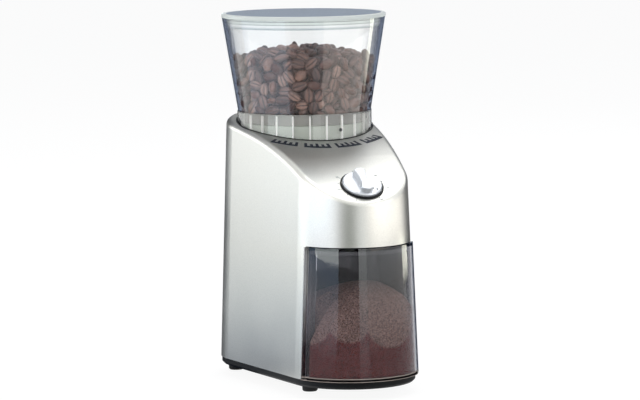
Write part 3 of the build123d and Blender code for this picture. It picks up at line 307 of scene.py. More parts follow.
apron("floor_right", 8, 92, [(0.1, "#101214"), (0.45, "#18181A"), (0.65, "#7C7A78"), (0.8, "#9A9896"),
                             (1.1, "#B4B2B0"), (1.5, "#CCCED0"), (2.4, "#D0D4D6")], 2.6)
apron("right_strip", 84, 101, [(0.85, "#2C2C28"), (1.05, "#E4E4D4"), (1.6, "#F4F4E6")], 8.0, 0.003)
apron("low_left", -120, -49, [(0.2, "#DCECFF"), (0.7, "#DCECFF")], 2.4, 0.1)
apron("low_right", 9, 92, [(0.2, "#FFFAF4"), (0.7, "#FFFAF4")], 2.3, 0.1)

# A bright window with a slanting near edge shows in the top of the drawer.
window = [place_at(a, r, 0.002) for a, near in ((-86, 1.62), (-71, 1.66), (-56, 1.70), (-41, 1.76))
          for r in (near, 2.35)]
card("left_window", window, ladder(3), [(0.0, "#E6F0F0"), (CARD_REACH, "#E6F0F0")], 5.0)
print("cards and boards:", len([m for m in bpy.data.materials if m.name.endswith("_card")]))

# %% [markdown]
# ## Lacquered metal, mouldings and rubber
# The housing is a moulding sprayed with aluminium lacquer. The flakes make it a metal to the eye,
# but a rough one: reflections melt into broad soft bands, which a fine speckle in colour and height
# breaks up. The flakes are really about 0.05 mm, and are drawn at 0.35 mm so that they show at all.
# ABS parts come out of a spark-textured mould, so they have a fine even grain too, and rubber is
# rougher and holds almost no highlight. All of them are two close colours over a fine grain, so one
# function makes them.


# %% Lacquers
def grained(name, low, high, roughness, grain_mm=0.35, depth=0.3, gloss=None, detail=2.0, rise_mm=0.05,
            along=(1, 1, 1)):
    """A finish of two close colours over a fine grain. A pair for the roughness drifts slowly
    between the two. gloss holds other inputs of the shader, rise_mm is the grain's height where depth
    is 1, and along squeezes the grain on each axis."""
    made, tree = new_material(name)
    place = add(tree, "ShaderNodeTexCoord")
    spot = add(tree, "ShaderNodeMapping", {"Vector": place.outputs["Object"], "Scale": along})
    grain = add(tree, "ShaderNodeTexNoise", {"Vector": spot.outputs[0], "Scale": 1 / (grain_mm * MM),
                                             "Detail": detail})
    tone = add(tree, "ShaderNodeValToRGB", {"Fac": grain.outputs["Fac"]}, [(0.3, low), (0.7, high)])
    relief = add(tree, "ShaderNodeBump", {"Height": grain.outputs["Fac"], "Strength": depth,
                                          "Distance": rise_mm * MM})
    if isinstance(roughness, tuple):
        cloud = add(tree, "ShaderNodeTexNoise", {"Vector": place.outputs["Object"],
                                                 "Scale": 1 / (45.0 * MM), "Detail": 1.0})
        drift = add(tree, "ShaderNodeMapRange", {"Value": cloud.outputs["Fac"], "From Min": 0.35,
                                                 "From Max": 0.65, "To Min": roughness[0],
                                                 "To Max": roughness[1]})
        roughness = drift.outputs["Result"]
    skin = add(tree, "ShaderNodeBsdfPrincipled",
               {"Base Color": tone.outputs["Color"], "Roughness": roughness,
                "Normal": relief.outputs["Normal"], **(gloss or {})})
    add(tree, "ShaderNodeOutputMaterial", {"Surface": skin.outputs[0]})
    return made


# Satin silver flake under a thin clear coat. The navy specular tint is a painted dark reflection: it
# makes the metal navy only where it is seen edge-on. The knob is gloss paint: whiter and smoother
# than the housing.
silver_lacquer = grained("silver_flake_lacquer", "#CFCFCA", "#E8E8E2", (0.34, 0.38), 0.35, 0.06,
                         {"Metallic": 1.0, "Specular Tint": linear("#444E6A"), "Coat Weight": 0.06,
                          "Coat Roughness": 0.25})
knob_lacquer = grained("knob_gloss_paint", "#CCD0D6", "#DCE0E4", 0.22, 0.3, 0.04,
                       {"Metallic": 0.5, "Coat Weight": 0.4, "Coat Roughness": 0.06})
print("lacquers:", silver_lacquer.name, knob_lacquer.name)


# %% Mouldings and rubber
def moulding(name, low, high, roughness, grain_mm=0.35, depth=0.3, shine=0.5):
    """ABS, nylon, rubber or ink; shine scales its highlight."""
    return grained(name, low, high, roughness, grain_mm, depth, {"IOR": 1.5, "Specular IOR Level": shine})


black_abs = moulding("black_grained_abs", "#06080A", "#0C0F12", 0.55, shine=0.22)
bay_abs = moulding("navy_black_satin_abs", "#0D0F16", "#141720", 0.40, shine=0.3)
grey_abs = moulding("grey_grained_abs", "#3E4244", "#4A4E50", 0.5)
pale_abs = moulding("pale_grey_abs", "#A6ADA8", "#B6BCB5", 0.45)
natural_nylon = moulding("natural_nylon", "#DAD7C9", "#E6E3D7", 0.42, depth=0.15)
black_rubber = moulding("black_rubber", "#0B0B0C", "#151516", 0.78, 0.5, 0.5)
bezel_abs = moulding("charcoal_satin_abs", "#0A0B0E", "#111318", 0.5, depth=0.1, shine=0.2)
print("mouldings made: 7")

# %% [markdown]
# ## Metal inside
# Turned, ground and rolled steel keeps fine lines from the tool: the same grain, drawn out. Brass and
# bronze differ in colour, and the laminations are varnished sheets. Most of this shows only when the
# hopper is off.


# %% Metals
def worked_metal(name, low, high, roughness, grain_mm=2.5):
    """Bare metal with fine tool lines."""
    return grained(name, low, high, roughness, grain_mm, 0.2, {"Metallic": 1.0}, 3.0, 0.03, (1, 1, 12))


burr_steel = worked_metal("ground_burr_steel", "#A9ACAE", "#C2C5C6", 0.25)
zinc_steel = worked_metal("zinc_plated_steel", "#B4B7B8", "#CACDCE", 0.3)
can_steel = worked_metal("rolled_zinc_sheet", "#A8ABAD", "#BCBFC1", 0.38)
lamination = worked_metal("varnished_laminations", "#5A4A40", "#6B5A4E", 0.45, 3.5)
brass = worked_metal("machined_brass", "#C9A45A", "#DDBB70", 0.25)
bronze = worked_metal("sintered_bronze", "#A27B48", "#B58D58", 0.5)
print("metals made: 6")

# %% [markdown]
# ## Clear plastic
# The hopper, collar, lid and drawer are acrylic. It bends light like glass does, with an index of
# 1.49. A thick edge of it looks dark where it shows a dark room sideways; here that dark is a painted
# reflection in the colour, which darkens where the surface is seen at a glancing turn. Acrylic lets
# lamp light through, which a glass shader alone stops, so shadow rays get a tinted transparent shader
# instead. Where it is moulded matt, or where painted highlight or shade is laid on, a share of plain
# white or grey covers the glass.


# %% Acrylic
def acrylic(name, tint, edge, shadow, roughness=0.015, turns=(0.42, 0.80), frost=0.0, frost_tone=None):
    """Clear plastic: tint colours what is seen straight through it and edge what is seen at a
    glancing turn, a darker colour that is a painted reflection of a dark room. frost is its matt share,
    which may also carry painted light, and frost_tone that share's colour: each is one value, or a
    function that makes it in the tree."""
    made, tree = new_material(name)
    place = add(tree, "ShaderNodeTexCoord")
    wear = add(tree, "ShaderNodeTexNoise", {"Vector": place.outputs["Object"], "Scale": 1 / (6.0 * MM),
                                            "Detail": 2.0})
    rough = add(tree, "ShaderNodeMapRange", {"Value": wear.outputs["Fac"], "From Min": 0.3, "From Max": 0.7,
                                             "To Min": roughness, "To Max": roughness * 2})
    turn = add(tree, "ShaderNodeLayerWeight", {"Blend": 0.5})
    # Painted dark reflection: the colour darkens from tint to edge as the surface turns away.
    colour = add(tree, "ShaderNodeValToRGB", {"Fac": turn.outputs["Facing"]}, zip(turns, (tint, edge)))
    body = add(tree, "ShaderNodeBsdfPrincipled",
               {"Base Color": colour.outputs["Color"], "Roughness": rough.outputs["Result"], "IOR": 1.49,
                "Transmission Weight": 1.0})
    tone = frost_tone(tree) if callable(frost_tone) else linear(frost_tone or "#FFFFFF")
    matt = add(tree, "ShaderNodeBsdfDiffuse", {"Color": tone})
    skin = add(tree, "ShaderNodeMixShader", {0: frost(tree) if callable(frost) else frost,
                                             1: body.outputs[0], 2: matt.outputs[0]})
    through = add(tree, "ShaderNodeBsdfTransparent", {"Color": linear(shadow)})
    rays = add(tree, "ShaderNodeLightPath")
    shader = add(tree, "ShaderNodeMixShader", {0: rays.outputs["Is Shadow Ray"], 1: skin.outputs[0],
                                               2: through.outputs[0]})
    add(tree, "ShaderNodeOutputMaterial", {"Surface": shader.outputs[0]})
    return made


# Each second colour below is the painted dark reflection at the pieces' edges.
clear_acrylic = acrylic("clear_acrylic", "#FCFDFD", "#3C465C", "#F4F5F6", turns=(0.30, 0.72))
lid_acrylic = acrylic("smoky_lid_acrylic", "#A6AEB8", "#8A94A2", "#B8C0C8")
floor_acrylic = acrylic("hopper_floor_acrylic", "#D8D6D2", "#B4B2AE", "#D8D6D2", 0.12, frost=0.4,
                        frost_tone="#BCBCBA")
print("plain acrylics:", clear_acrylic.name, lid_acrylic.name, floor_acrylic.name)


# %% [markdown]
# ## Matt places and painted light on the clear pieces
# The collar's ribs have matt white edges, which also stand in for the highlights along them. The lid's
# rim is matt, with level bands of painted highlight and shade where it has its lips and grooves, and
# the drawer's lower edges get two fine pale lines, a painted highlight. Each could be painted on a
# map. A rule on the place in the object needs no map, and stays sharp however near the camera is.

# %% Collar ribs
RIB_TIPS = 47.3 * MM
RIB_SHARE = 0.85


def rib_matt_and_highlight(tree):
    """Matt only within a radius of the hopper's axis, where the collar's ribs have their edges: partly a
    painted highlight along them.
    """
    place = add(tree, "ShaderNodeTexCoord")
    level = add(tree, "ShaderNodeVectorMath", {0: place.outputs["Object"], 1: (1, 1, 0),
                                               2: (0, -HOPPER_AXIS_Y, 0)}, operation="MULTIPLY_ADD")
    away = add(tree, "ShaderNodeVectorMath", {0: level.outputs[0]}, operation="LENGTH")
    inside = add(tree, "ShaderNodeMath", {0: away.outputs["Value"], 1: RIB_TIPS}, operation="LESS_THAN")
    return add(tree, "ShaderNodeMath", {0: inside.outputs[0], 1: RIB_SHARE}, operation="MULTIPLY").outputs[0]


# The ribs' matt white is partly painted highlight: the light that their edges catch.
collar_acrylic = acrylic("collar_clear_acrylic", "#F1F1EE", "#ACAEAB", "#F2F2F2", frost=rib_matt_and_highlight)
print("collar: ribs matt within", round(RIB_TIPS / MM, 1), "mm of the axis")

# %% Lid rim
# Heights in mm, each with its colour. The white bands are painted highlights along the lips, and the dark
# ones painted shade under them and in the grooves.
RIM_HIGHLIGHT_AND_SHADE_BANDS = (
    (254.0, "#B8C4C4"), (256.6, "#5E6670"), (258.2, "#C4CED0"), (259.6, "#FFFFFF"), (260.6, "#F0F4F2"),
    (260.9, "#7E888A"), (261.3, "#E8EEEA"), (262.8, "#E8EEEA"), (263.1, "#4A5254"), (263.5, "#E4EAE6"),
    (267.0, "#E8ECEA"))


def height_of(tree):
    """A socket with the height on the piece, in metres."""
    place = add(tree, "ShaderNodeTexCoord")
    return add(tree, "ShaderNodeSeparateXYZ", {0: place.outputs["Object"]}).outputs["Z"]


def rim_painted_bands(tree):
    """The rim's colour by its height: bands of painted highlight and shade."""
    low, high = RIM_HIGHLIGHT_AND_SHADE_BANDS[0][0] - 0.5, RIM_HIGHLIGHT_AND_SHADE_BANDS[-1][0] + 0.5
    up = add(tree, "ShaderNodeMapRange", {"Value": height_of(tree), "From Min": low * MM,
                                          "From Max": high * MM})
    return add(tree, "ShaderNodeValToRGB", {"Fac": up.outputs["Result"]},
               [((z - low) / (high - low), c) for z, c in RIM_HIGHLIGHT_AND_SHADE_BANDS]).outputs["Color"]


# The rim is matt, and its level bands are painted highlight and shade.
rim_acrylic = acrylic("lid_rim_acrylic", "#F4F8F5", "#D8E0DC", "#F0F2F2", 0.06, frost=0.7,
                      frost_tone=rim_painted_bands)
print("lid rim bands:", len(RIM_HIGHLIGHT_AND_SHADE_BANDS))

# %% Drawer edges
DRAWER_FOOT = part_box("bin_tub")[0].z
EDGE_HIGHLIGHT_HEIGHTS = (DRAWER_FOOT + 0.3 * MM, DRAWER_FOOT + 2.3 * MM)
LINE_HALF = 0.25 * MM


def edge_highlight_lines(tree):
    """Painted highlight: matt in two level lines, where the drawer's lower edges catch the light."""
    height = height_of(tree)
    first, second = (add(tree, "ShaderNodeMath", {0: height, 1: z, 2: LINE_HALF}, operation="COMPARE")
                     for z in EDGE_HIGHLIGHT_HEIGHTS)
    total = add(tree, "ShaderNodeMath", {0: first.outputs[0], 1: second.outputs[0]}, operation="MAXIMUM")
    return add(tree, "ShaderNodeMath", {0: total.outputs[0], 1: 0.6}, operation="MULTIPLY").outputs[0]


# The two pale lines near the foot are a painted highlight on the drawer's lower edges.
drawer_acrylic = acrylic("drawer_clear_acrylic", "#D6D6DA", "#2C3244", "#ECECEA", turns=(0.68, 0.82),
                         frost=edge_highlight_lines, frost_tone="#B8ACA4")
print("drawer foot at", round(DRAWER_FOOT / MM, 1), "mm")

# %% Give each solid its finish
FINISHES = (
    (silver_lacquer, "housing_shell"), (knob_lacquer, "timer_knob"), (bezel_abs, "timer_bezel collar_seal"),
    (black_abs, "base_tray chassis grinding_chamber ground_chute interlock_switch"), (bay_abs, "bay_liner"),
    (black_rubber, "rubber_feet cord_inlet"), (pale_abs, "adjuster_ring"),
    (grey_abs, "interlock_plunger timer_body burr_carrier sweeper_disc"),
    (natural_nylon, "main_gear idler_gear"), (can_steel, "motor_can"),
    (burr_steel, "lower_burr ring_burr spindle idler_pin timer_shaft"),
    (zinc_steel, "burr_bolt burr_screws base_screws gearbox_screws motor_screws"),
    (lamination, "motor_stator motor_armature"), (brass, "motor_pinion"), (bronze, "spindle_bushes"),
    (clear_acrylic, "bean_hopper"), (collar_acrylic, "hopper_collar"), (floor_acrylic, "hopper_floor"),
    (lid_acrylic, "hopper_lid"), (rim_acrylic, "lid_rim"), (drawer_acrylic, "bin_tub bin_lid"))

bare = set(nodes)
for finish, names in FINISHES:
    for name in names.split():
        slots = nodes[name].data.materials
        if not slots:
            slots.append(finish)
        for i in range(len(slots)):
            slots[i] = finish
        bare.remove(name)
print("solids without a finish:", sorted(bare))

# %% [markdown]
# ## Printed marks
# The fineness scale is printed on the slope in four equal groups: an arc bar with five ticks. Print
# is a film, dense and a little glossy, so each mark is a very thin solid laid on the surface. The
# slope is curved, so a mark is drawn flat first and its points are then dropped onto the housing's
# own mesh. The groups differ only by a turn about the hopper, which is what Geometry Nodes is good
# at: one group is instanced on a few points at the axis, turned step by step, and made real.

# %% Geometry Nodes helpers
def new_tree(name, inputs):
    """An empty Geometry Nodes tree with named inputs, and its input sockets."""
    tree = bpy.data.node_groups.new(name, "GeometryNodeTree")
    tree.interface.new_socket(name="Geometry", in_out="OUTPUT", socket_type="NodeSocketGeometry")
    for label, kind in inputs.items():
        tree.interface.new_socket(name=label, in_out="INPUT", socket_type="NodeSocket" + kind)
    return tree, add(tree, "NodeGroupInput").outputs


def end_tree(tree, placed, finish):
    """Make the instances real, give them their material, and end the tree."""
    real = add(tree, "GeometryNodeRealizeInstances", {0: placed.outputs[0]})
    dressed = add(tree, "GeometryNodeSetMaterial", {"Geometry": real.outputs[0], "Material": finish})
    add(tree, "NodeGroupOutput", {0: dressed.outputs[0]})
    return tree


def settled(host):
    """An object's mesh once its modifiers have run; the object itself goes."""
    graph = bpy.context.evaluated_depsgraph_get()
    mesh = bpy.data.meshes.new_from_object(host.evaluated_get(graph))
    bpy.data.objects.remove(host)
    return mesh


def grow(tree, name, values):
    """Run a tree on an empty mesh, or on the mesh given as Base, and keep the result."""
    host = new_object(name + "_host", values.pop("Base", None) or bpy.data.meshes.new(name + "_start"))
    modifier = host.modifiers.new("nodes", "NODES")
    modifier.node_group = tree
    for item in tree.interface.items_tree:
        if item.in_out == "INPUT" and item.name in values:
            modifier[item.identifier] = values[item.name]
    mesh = settled(host)
    mesh.name = name
    return mesh


print("helpers for trees ready")


# %% A tree that repeats a piece round an axis
def copies_round_axis():
    """Copies of a piece, each turned a step further about the piece's own Z axis."""
    tree, given = new_tree("copies_round_axis", {"Piece": "Object", "Count": "Int", "First turn": "Float",
                                                 "Step": "Float", "Finish": "Material"})
    points = add(tree, "GeometryNodePoints", {"Count": given["Count"]})
    piece = add(tree, "GeometryNodeObjectInfo", {"Object": given["Piece"]})
    index = add(tree, "GeometryNodeInputIndex")
    turn = add(tree, "ShaderNodeMath", {0: index.outputs[0], 1: given["Step"], 2: given["First turn"]},
               operation="MULTIPLY_ADD")
    turns = add(tree, "ShaderNodeCombineXYZ", {"Z": turn.outputs[0]})
    placed = add(tree, "GeometryNodeInstanceOnPoints",
                 {"Points": points.outputs[0], "Instance": piece.outputs["Geometry"],
                  "Rotation": turns.outputs[0]})
    return end_tree(tree, placed, given["Finish"])


ring_of_copies = copies_round_axis()
print("tree:", ring_of_copies.name)

# %% Look down on a surface
def surface_of(node):
    """A node's mesh as a tree that answers where a ray meets it."""
    mesh = nodes[node].data
    return BVHTree.FromPolygons([v.co for v in mesh.vertices], [p.vertices for p in mesh.polygons])


def looking_down(surface, start, right, up, out):
    """A place() for flat drawings: the point and normal of a surface under each u, v."""
    def place(u, v):
        hit, normal, _, _ = surface.ray_cast(start + right * u + up * v, -out)
        return hit, normal if normal.dot(out) > 0 else -normal
    return place


housing_surface = surface_of("housing_shell")
ABOVE = 0.4
on_slope = looking_down(housing_surface, Vector((0, HOPPER_AXIS_Y, ABOVE)), *Matrix.Identity(3))
print("slope in front of the collar at z", round(on_slope(0, -0.06)[0].z / MM, 2), "mm")

# %% Lay a flat drawing on a surface
FILM = 0.12 * MM
scale_ink = moulding("dark_blue_screen_ink", "#0C1320", "#141C2C", 0.5, depth=0.05, shine=0.25)
dial_ink = moulding("grey_screen_ink", "#6F7A80", "#7E898E", 0.5, depth=0.05)
knob_ink = moulding("black_screen_ink", "#15171A", "#1D2023", 0.4, depth=0.05)


def film(name, drawing, place, finish, body):
    """A thin closed solid from a flat mesh, laid where place() says."""
    work = bmesh.new()
    work.from_mesh(drawing)
    bmesh.ops.remove_doubles(work, verts=work.verts, dist=0.005 * MM)
    work.verts.index_update()
    spots = [place(v.co.x, v.co.y) for v in work.verts]
    count = len(spots)
    vertices = [p + n * FILM for p, n in spots] + [p - n * FILM / 2 for p, n in spots]
    faces = []
    for face in work.faces:
        ring = [v.index for v in face.verts]
        faces += [ring, [i + count for i in reversed(ring)]]
    for edge in work.edges:
        if edge.is_boundary:
            a, b = (v.index for v in edge.verts)
            faces.append([a, b, b + count, a + count])
    work.free()
    made = link_mesh(name, vertices, faces)
    made.data.materials.append(finish)
    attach(made, body)
    return made


print("film", round(FILM / MM, 2), "mm thick")

# %% Fineness scale
# Radius and lengths are in metres, and what runs round the axis is in degrees.
SCALE_OUTER = 64.6 * MM
BAR_WIDTH = 2.9 * MM
TICK_LENGTHS = (5.4 * MM, 3.9 * MM)
TICK_WIDTH = 2.0
GROUP_SPAN = 18.0
GROUP_STEP = 22.3
GROUPS = 4
TICKS = 5


def flat_mesh(name, parts):
    """One flat mesh from several (points, faces) parts."""
    points, faces = [], []
    for part_points, part_faces in parts:
        faces += [tuple(i + len(points) for i in f) for f in part_faces]
        points += part_points
    made = new_object(name, bpy.data.meshes.new(name))
    made.data.from_pydata(points, [], faces)
    return made


inner = SCALE_OUTER - BAR_WIDTH
parts = [strip(SCALE_OUTER, inner, -GROUP_SPAN / 2, GROUP_SPAN / 2, 14)]
for i in range(TICKS):
    left = -GROUP_SPAN / 2 + (GROUP_SPAN - TICK_WIDTH) * i / (TICKS - 1)
    parts.append(strip(inner, inner - TICK_LENGTHS[i % 2], left, left + TICK_WIDTH, 1))
group = flat_mesh("scale_group", parts)
drawing = grow(ring_of_copies, "fineness_scale", {
    "Piece": group, "Count": GROUPS, "First turn": -(GROUPS - 1) / 2 * radians(GROUP_STEP),
    "Step": radians(GROUP_STEP), "Finish": scale_ink})
scale = film("fineness_scale_print", drawing, on_slope, scale_ink, "base")
bpy.data.objects.remove(group)
print("fineness scale:", len(scale.data.polygons), "faces")

# %% [markdown]
# ## Dial
# A ring of ticks and small numbers stands round the timer knob, and a dot with a short line on the
# knob shows where it points. The ticks come from the same node tree, turned about the dial's
# centre. The numbers are text turned into a flat mesh. All of it is then laid on the slope, along
# the dial's own axis.

# %% Dial plane
dial_joint = next(j for j in frame["joints"] if j["name"] == "timer_turn")
DIAL_CENTRE = Vector(dial_joint["pos_m"])
DIAL_OUT = -Vector(dial_joint["axis"]).normalized()
DIAL_RIGHT = Vector((1, 0, 0))
DIAL_UP = DIAL_OUT.cross(DIAL_RIGHT)
DIAL_ABOVE = 40 * MM
dial_view = (DIAL_CENTRE + DIAL_OUT * DIAL_ABOVE, DIAL_RIGHT, DIAL_UP, DIAL_OUT)
on_dial = looking_down(housing_surface, *dial_view)
on_knob = looking_down(surface_of("timer_knob"), *dial_view)
print("dial at", [round(v / MM, 2) for v in DIAL_CENTRE], "mm")

# %% Ticks and numbers
DIAL_TICKS = 13
DIAL_STEP = radians(25.0)
DIAL_START = radians(-150.0)


def patch(*corners):
    """One flat face, from its corners in mm."""
    return [(x * MM, y * MM, 0) for x, y in corners], [tuple(range(len(corners)))]


tick = flat_mesh("dial_tick", [patch((-0.25, 16.5), (0.25, 16.5), (0.25, 17.4), (-0.25, 17.4))])
drawing = grow(ring_of_copies, "dial_ticks", {
    "Piece": tick, "Count": DIAL_TICKS, "First turn": DIAL_START, "Step": DIAL_STEP, "Finish": dial_ink})
bpy.data.objects.remove(tick)
film("dial_ticks_print", drawing, on_dial, dial_ink, "base")


def number(text, size, centre):
    """A flat mesh of a number, centred on a place in the drawing."""
    curve = bpy.data.curves.new("number_" + text, "FONT")
    curve.body = text
    curve.size = size
    curve.align_x, curve.align_y = "CENTER", "CENTER"
    curve.resolution_u = 3
    mesh = settled(new_object("number_" + text, curve))
    mesh.transform(Matrix.Translation((centre[0], centre[1], 0)))
    return mesh


NUMBER_SIZE = 2.3 * MM
NUMBER_RING = 19.0 * MM
for i in range(0, DIAL_TICKS, 2):
    turn = DIAL_START + DIAL_STEP * (DIAL_TICKS - 1 - i)
    text = str(5 * i)
    drawing = number(text, NUMBER_SIZE, (-NUMBER_RING * sin(turn), NUMBER_RING * cos(turn)))
    film("dial_number_" + text, drawing, on_dial, dial_ink, "base")
print("dial: ticks", DIAL_TICKS, "numbers", len(range(0, DIAL_TICKS, 2)))


# %% Knob marks and pointer
def disc(radius, x, y, steps=20):
    """A flat disc for a printed dot, in mm."""
    turns = [2 * pi * i / steps for i in range(steps)]
    return patch(*[(x + radius * cos(a), y + radius * sin(a)) for a in turns])


dot = flat_mesh("knob_dot", [disc(0.75, 5.6, -7.2)])
film("knob_dot_print", dot.data, on_knob, knob_ink, "dial")
line = flat_mesh("knob_line", [patch((7.6, -9.6), (8.3, -9.9), (9.0, -7.3), (8.3, -7.0))])
film("knob_line_print", line.data, on_knob, knob_ink, "dial")

COLLAR_R = (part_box("hopper_collar")[1].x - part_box("hopper_collar")[0].x) / 2 + 0.05 * MM
POINTER_TURN = radians(12.0)
POINTER_Z = 184.0 * MM


def on_collar(u, v):
    """The collar's outer face: u runs round it from the pointer, v runs up."""
    a = POINTER_TURN + u / COLLAR_R
    out = Vector((sin(a), -cos(a), 0))
    return out * COLLAR_R + Vector((0, HOPPER_AXIS_Y, POINTER_Z + v)), out


pointer = flat_mesh("pointer", [disc(1.3, 0, 0)])
film("collar_pointer_print", pointer.data, on_collar, knob_ink, "hopper")
for drawn in (dot, line, pointer):
    bpy.data.objects.remove(drawn)
print("collar radius", round(COLLAR_R / MM, 2), "mm")

# %% [markdown]
# ## Coffee beans
# The hopper is three quarters full of roasted beans, 10 to 12 mm long. A bean is half an egg: domed
# on one side, flat on the other, with a crease down the flat side. One bean of a few dozen faces is
# modelled from listed points. The heap is packed in code: each bean starts at a random place, and
# beans that touch push each other apart, inside the hopper's cone and under the heap's surface.
# Beside the wall a bean lies flat against it, as beans do. Geometry Nodes then puts the bean on each
# point.

# %% One bean
BEAN = Vector((5.3, 4.1, 3.2)) * MM
ROUNDNESS = 2.2       # the power that rounds a bean's ends: 2 is an ellipse
STATIONS = (-0.93, -0.62, -0.2, 0.2, 0.62, 0.93)
DOME = [(cos(radians(a)), sin(radians(a))) for a in (6, 62, 118, 174)]
FLAT = [(-0.80, -0.42), (-0.24, -0.64), (0.0, -0.20), (0.24, -0.64), (0.80, -0.42)]
GROOVE = 6            # the point of the ring that lies in the crease


def mark(mesh, name, values, kind="FLOAT"):
    """Give the points of a mesh an attribute."""
    made = mesh.attributes.new(name, kind, "POINT")
    made.data.foreach_set("value" if kind == "FLOAT" else "vector", values)


def bean_mesh():
    """A coffee bean along X, its flat side down, with attributes for its groove and its outline, which the
    skin darkens as painted shade.
    """
    ring = DOME + FLAT
    n = len(ring)
    points = [(-BEAN.x, 0, 0)]
    for s in STATIONS:
        k = (1 - abs(s) ** ROUNDNESS) ** (1 / ROUNDNESS)
        points += [(s * BEAN.x, (y * k + 0.08 * sin(3 * s) * (i == GROOVE)) * BEAN.y, z * k * BEAN.z)
                   for i, (y, z) in enumerate(ring)]
    points.append((BEAN.x, 0, 0))
    last = len(points) - 1
    faces = [(0, 1 + (i + 1) % n, 1 + i) for i in range(n)]
    for s in range(len(STATIONS) - 1):
        a, b = 1 + s * n, 1 + (s + 1) * n
        faces += [(a + i, a + (i + 1) % n, b + (i + 1) % n, b + i) for i in range(n)]
    a = last - n
    faces += [(last, a + i, a + (i + 1) % n) for i in range(n)]
    made = link_mesh("bean", points, faces, smooth=True)
    mark(made.data, "crease", [0.6] + [float(i == GROOVE) for i in range(n)] * len(STATIONS) + [0.6])
    mark(made.data, "outline", [1.0] + [float(abs(y) > 0.75) for y, z in ring] * len(STATIONS) + [1.0])
    return made


bean = bean_mesh()
print("bean:", len(bean.data.polygons), "faces")

# %% Room for the heap
LEDGE_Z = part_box("bean_hopper")[0].z
RIM_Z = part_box("bean_hopper")[1].z
FOOT_R = 46.7 * MM
RIM_R = 57.8 * MM
FUNNEL_SLOPE = 19.0 / 29.7
THROAT_R = 17.0 * MM
WALL_Z = 237.0 * MM
CROWN_Z = 244.5 * MM
BEANS = 980
CREASE_OUT = 0.62     # share of the beans at the wall that show their flat side
HEAP_R = 52e-3        # radius at which the crown ends
HOLLOW = 1.6 * MM
rng = np.random.default_rng(7)


def cone_radius(z):
    """Inside radius of the hopper's wall, and of its funnel below the ledge."""
    above = FOOT_R + (RIM_R - FOOT_R) * (z - LEDGE_Z) / (RIM_Z - LEDGE_Z)
    below = FOOT_R + (z - LEDGE_Z) / FUNNEL_SLOPE
    return np.where(z > LEDGE_Z, above, np.maximum(below, THROAT_R))


def heap_top(x, y):
    """Height of the heap: crowned in the middle, with a few hollows."""
    r = np.hypot(x, y) / HEAP_R
    return (WALL_Z + (CROWN_Z - WALL_Z) * np.clip(1 - r ** 2, 0, 1)
            + HOLLOW * np.sin(x * 95 + 1.0) * np.cos(y * 80))


print("beans reach up to", round(CROWN_Z / MM, 1), "mm")

# %% Scatter the beans
NEAR_WALL = 11 * MM   # beans whose middle is this near the wall lie flat against it
START_CLEAR = 4 * MM
TOP_CLEAR = 3 * MM
LOW_Z = LEDGE_Z - 14 * MM
LEAN = 0.32           # spread of the beans' tilts, in radians


def lying(out, spin, tilt, side, at_wall):
    """A bean's turn: flat against the wall, or lying freely."""
    steps = ((spin, "Z"), (tilt[0] * 2 + side, "X"), (tilt[1] * 2, "Y"))
    if at_wall:
        steps = ((out, "Z"), (pi / 2 + side, "Y"), (spin, "Z"), (tilt[0], "X"), (tilt[1], "Y"))
    turn = Matrix.Identity(3)
    for angle, axis in steps:
        turn = turn @ Matrix.Rotation(angle, 3, axis)
    return turn.to_euler()


def scatter(count):
    """Random places in the heap, and a turn for each."""
    z = rng.uniform(LOW_Z, CROWN_Z, count * 6)
    a = rng.uniform(0, 2 * pi, count * 6)
    r = np.sqrt(rng.uniform(0, 1, count * 6)) * RIM_R
    x, y = r * np.cos(a), r * np.sin(a)
    keep = (r < cone_radius(z) - START_CLEAR) & (z < heap_top(x, y) - TOP_CLEAR)
    place = np.stack([x, y, z], 1)[keep][:count]
    count = len(place)
    out = np.arctan2(place[:, 1], place[:, 0])
    spin = rng.uniform(0, 2 * pi, count)
    tilt = rng.normal(0, LEAN, (count, 2))
    side = (rng.uniform(0, 1, count) < CREASE_OUT) * pi
    near = np.hypot(place[:, 0], place[:, 1]) > cone_radius(place[:, 2]) - NEAR_WALL
    return place, [lying(*each) for each in zip(out, spin, tilt, side, near)]


places, turns = scatter(BEANS)
print("beans scattered:", len(places))

# %% Settle the heap
WALL_CLEAR = 2.6 * MM
LONGEST = 11.5 * MM
SOFT = 0.93           # share of its size at which a bean pushes others
PUSH = 0.35           # share of an overlap that one round takes away
SINK = 0.03 * MM      # how far a round lets the beans sink


def settle(place, turns, rounds):
    """Move the places, in rounds, until the beans touch but hardly overlap."""
    axes = np.array([turn.to_matrix() for turn in turns])
    half = np.array(BEAN) * SOFT
    for _ in range(rounds):
        gap = place[:, None, :] - place[None, :, :]
        far = np.linalg.norm(gap, axis=2) + np.eye(len(place))
        i, j = np.nonzero(np.triu((far < LONGEST) & (far > 0), 1))
        way = gap[i, j] / far[i, j][:, None]
        reach = [np.linalg.norm(np.einsum("nij,ni->nj", axes[k], way) * half, axis=1) for k in (i, j)]
        push = np.clip(reach[0] + reach[1] - far[i, j], 0, None)[:, None] * way * PUSH
        move = np.zeros_like(place)
        np.add.at(move, i, push)
        np.add.at(move, j, -push)
        place += move
        place[:, 2] -= SINK
        r = np.hypot(place[:, 0], place[:, 1])
        most = cone_radius(place[:, 2]) - WALL_CLEAR
        place[:, :2] *= np.where(r > most, most / np.maximum(r, 1e-6), 1)[:, None]
        top = heap_top(place[:, 0], place[:, 1]) - TOP_CLEAR
        place[:, 2] = np.clip(place[:, 2], LOW_Z, np.maximum(top, LOW_Z))
    place[:, 1] += HOPPER_AXIS_Y


settle(places, turns, 90)
print("mean height of the beans:", round(places[:, 2].mean() / MM, 1), "mm")


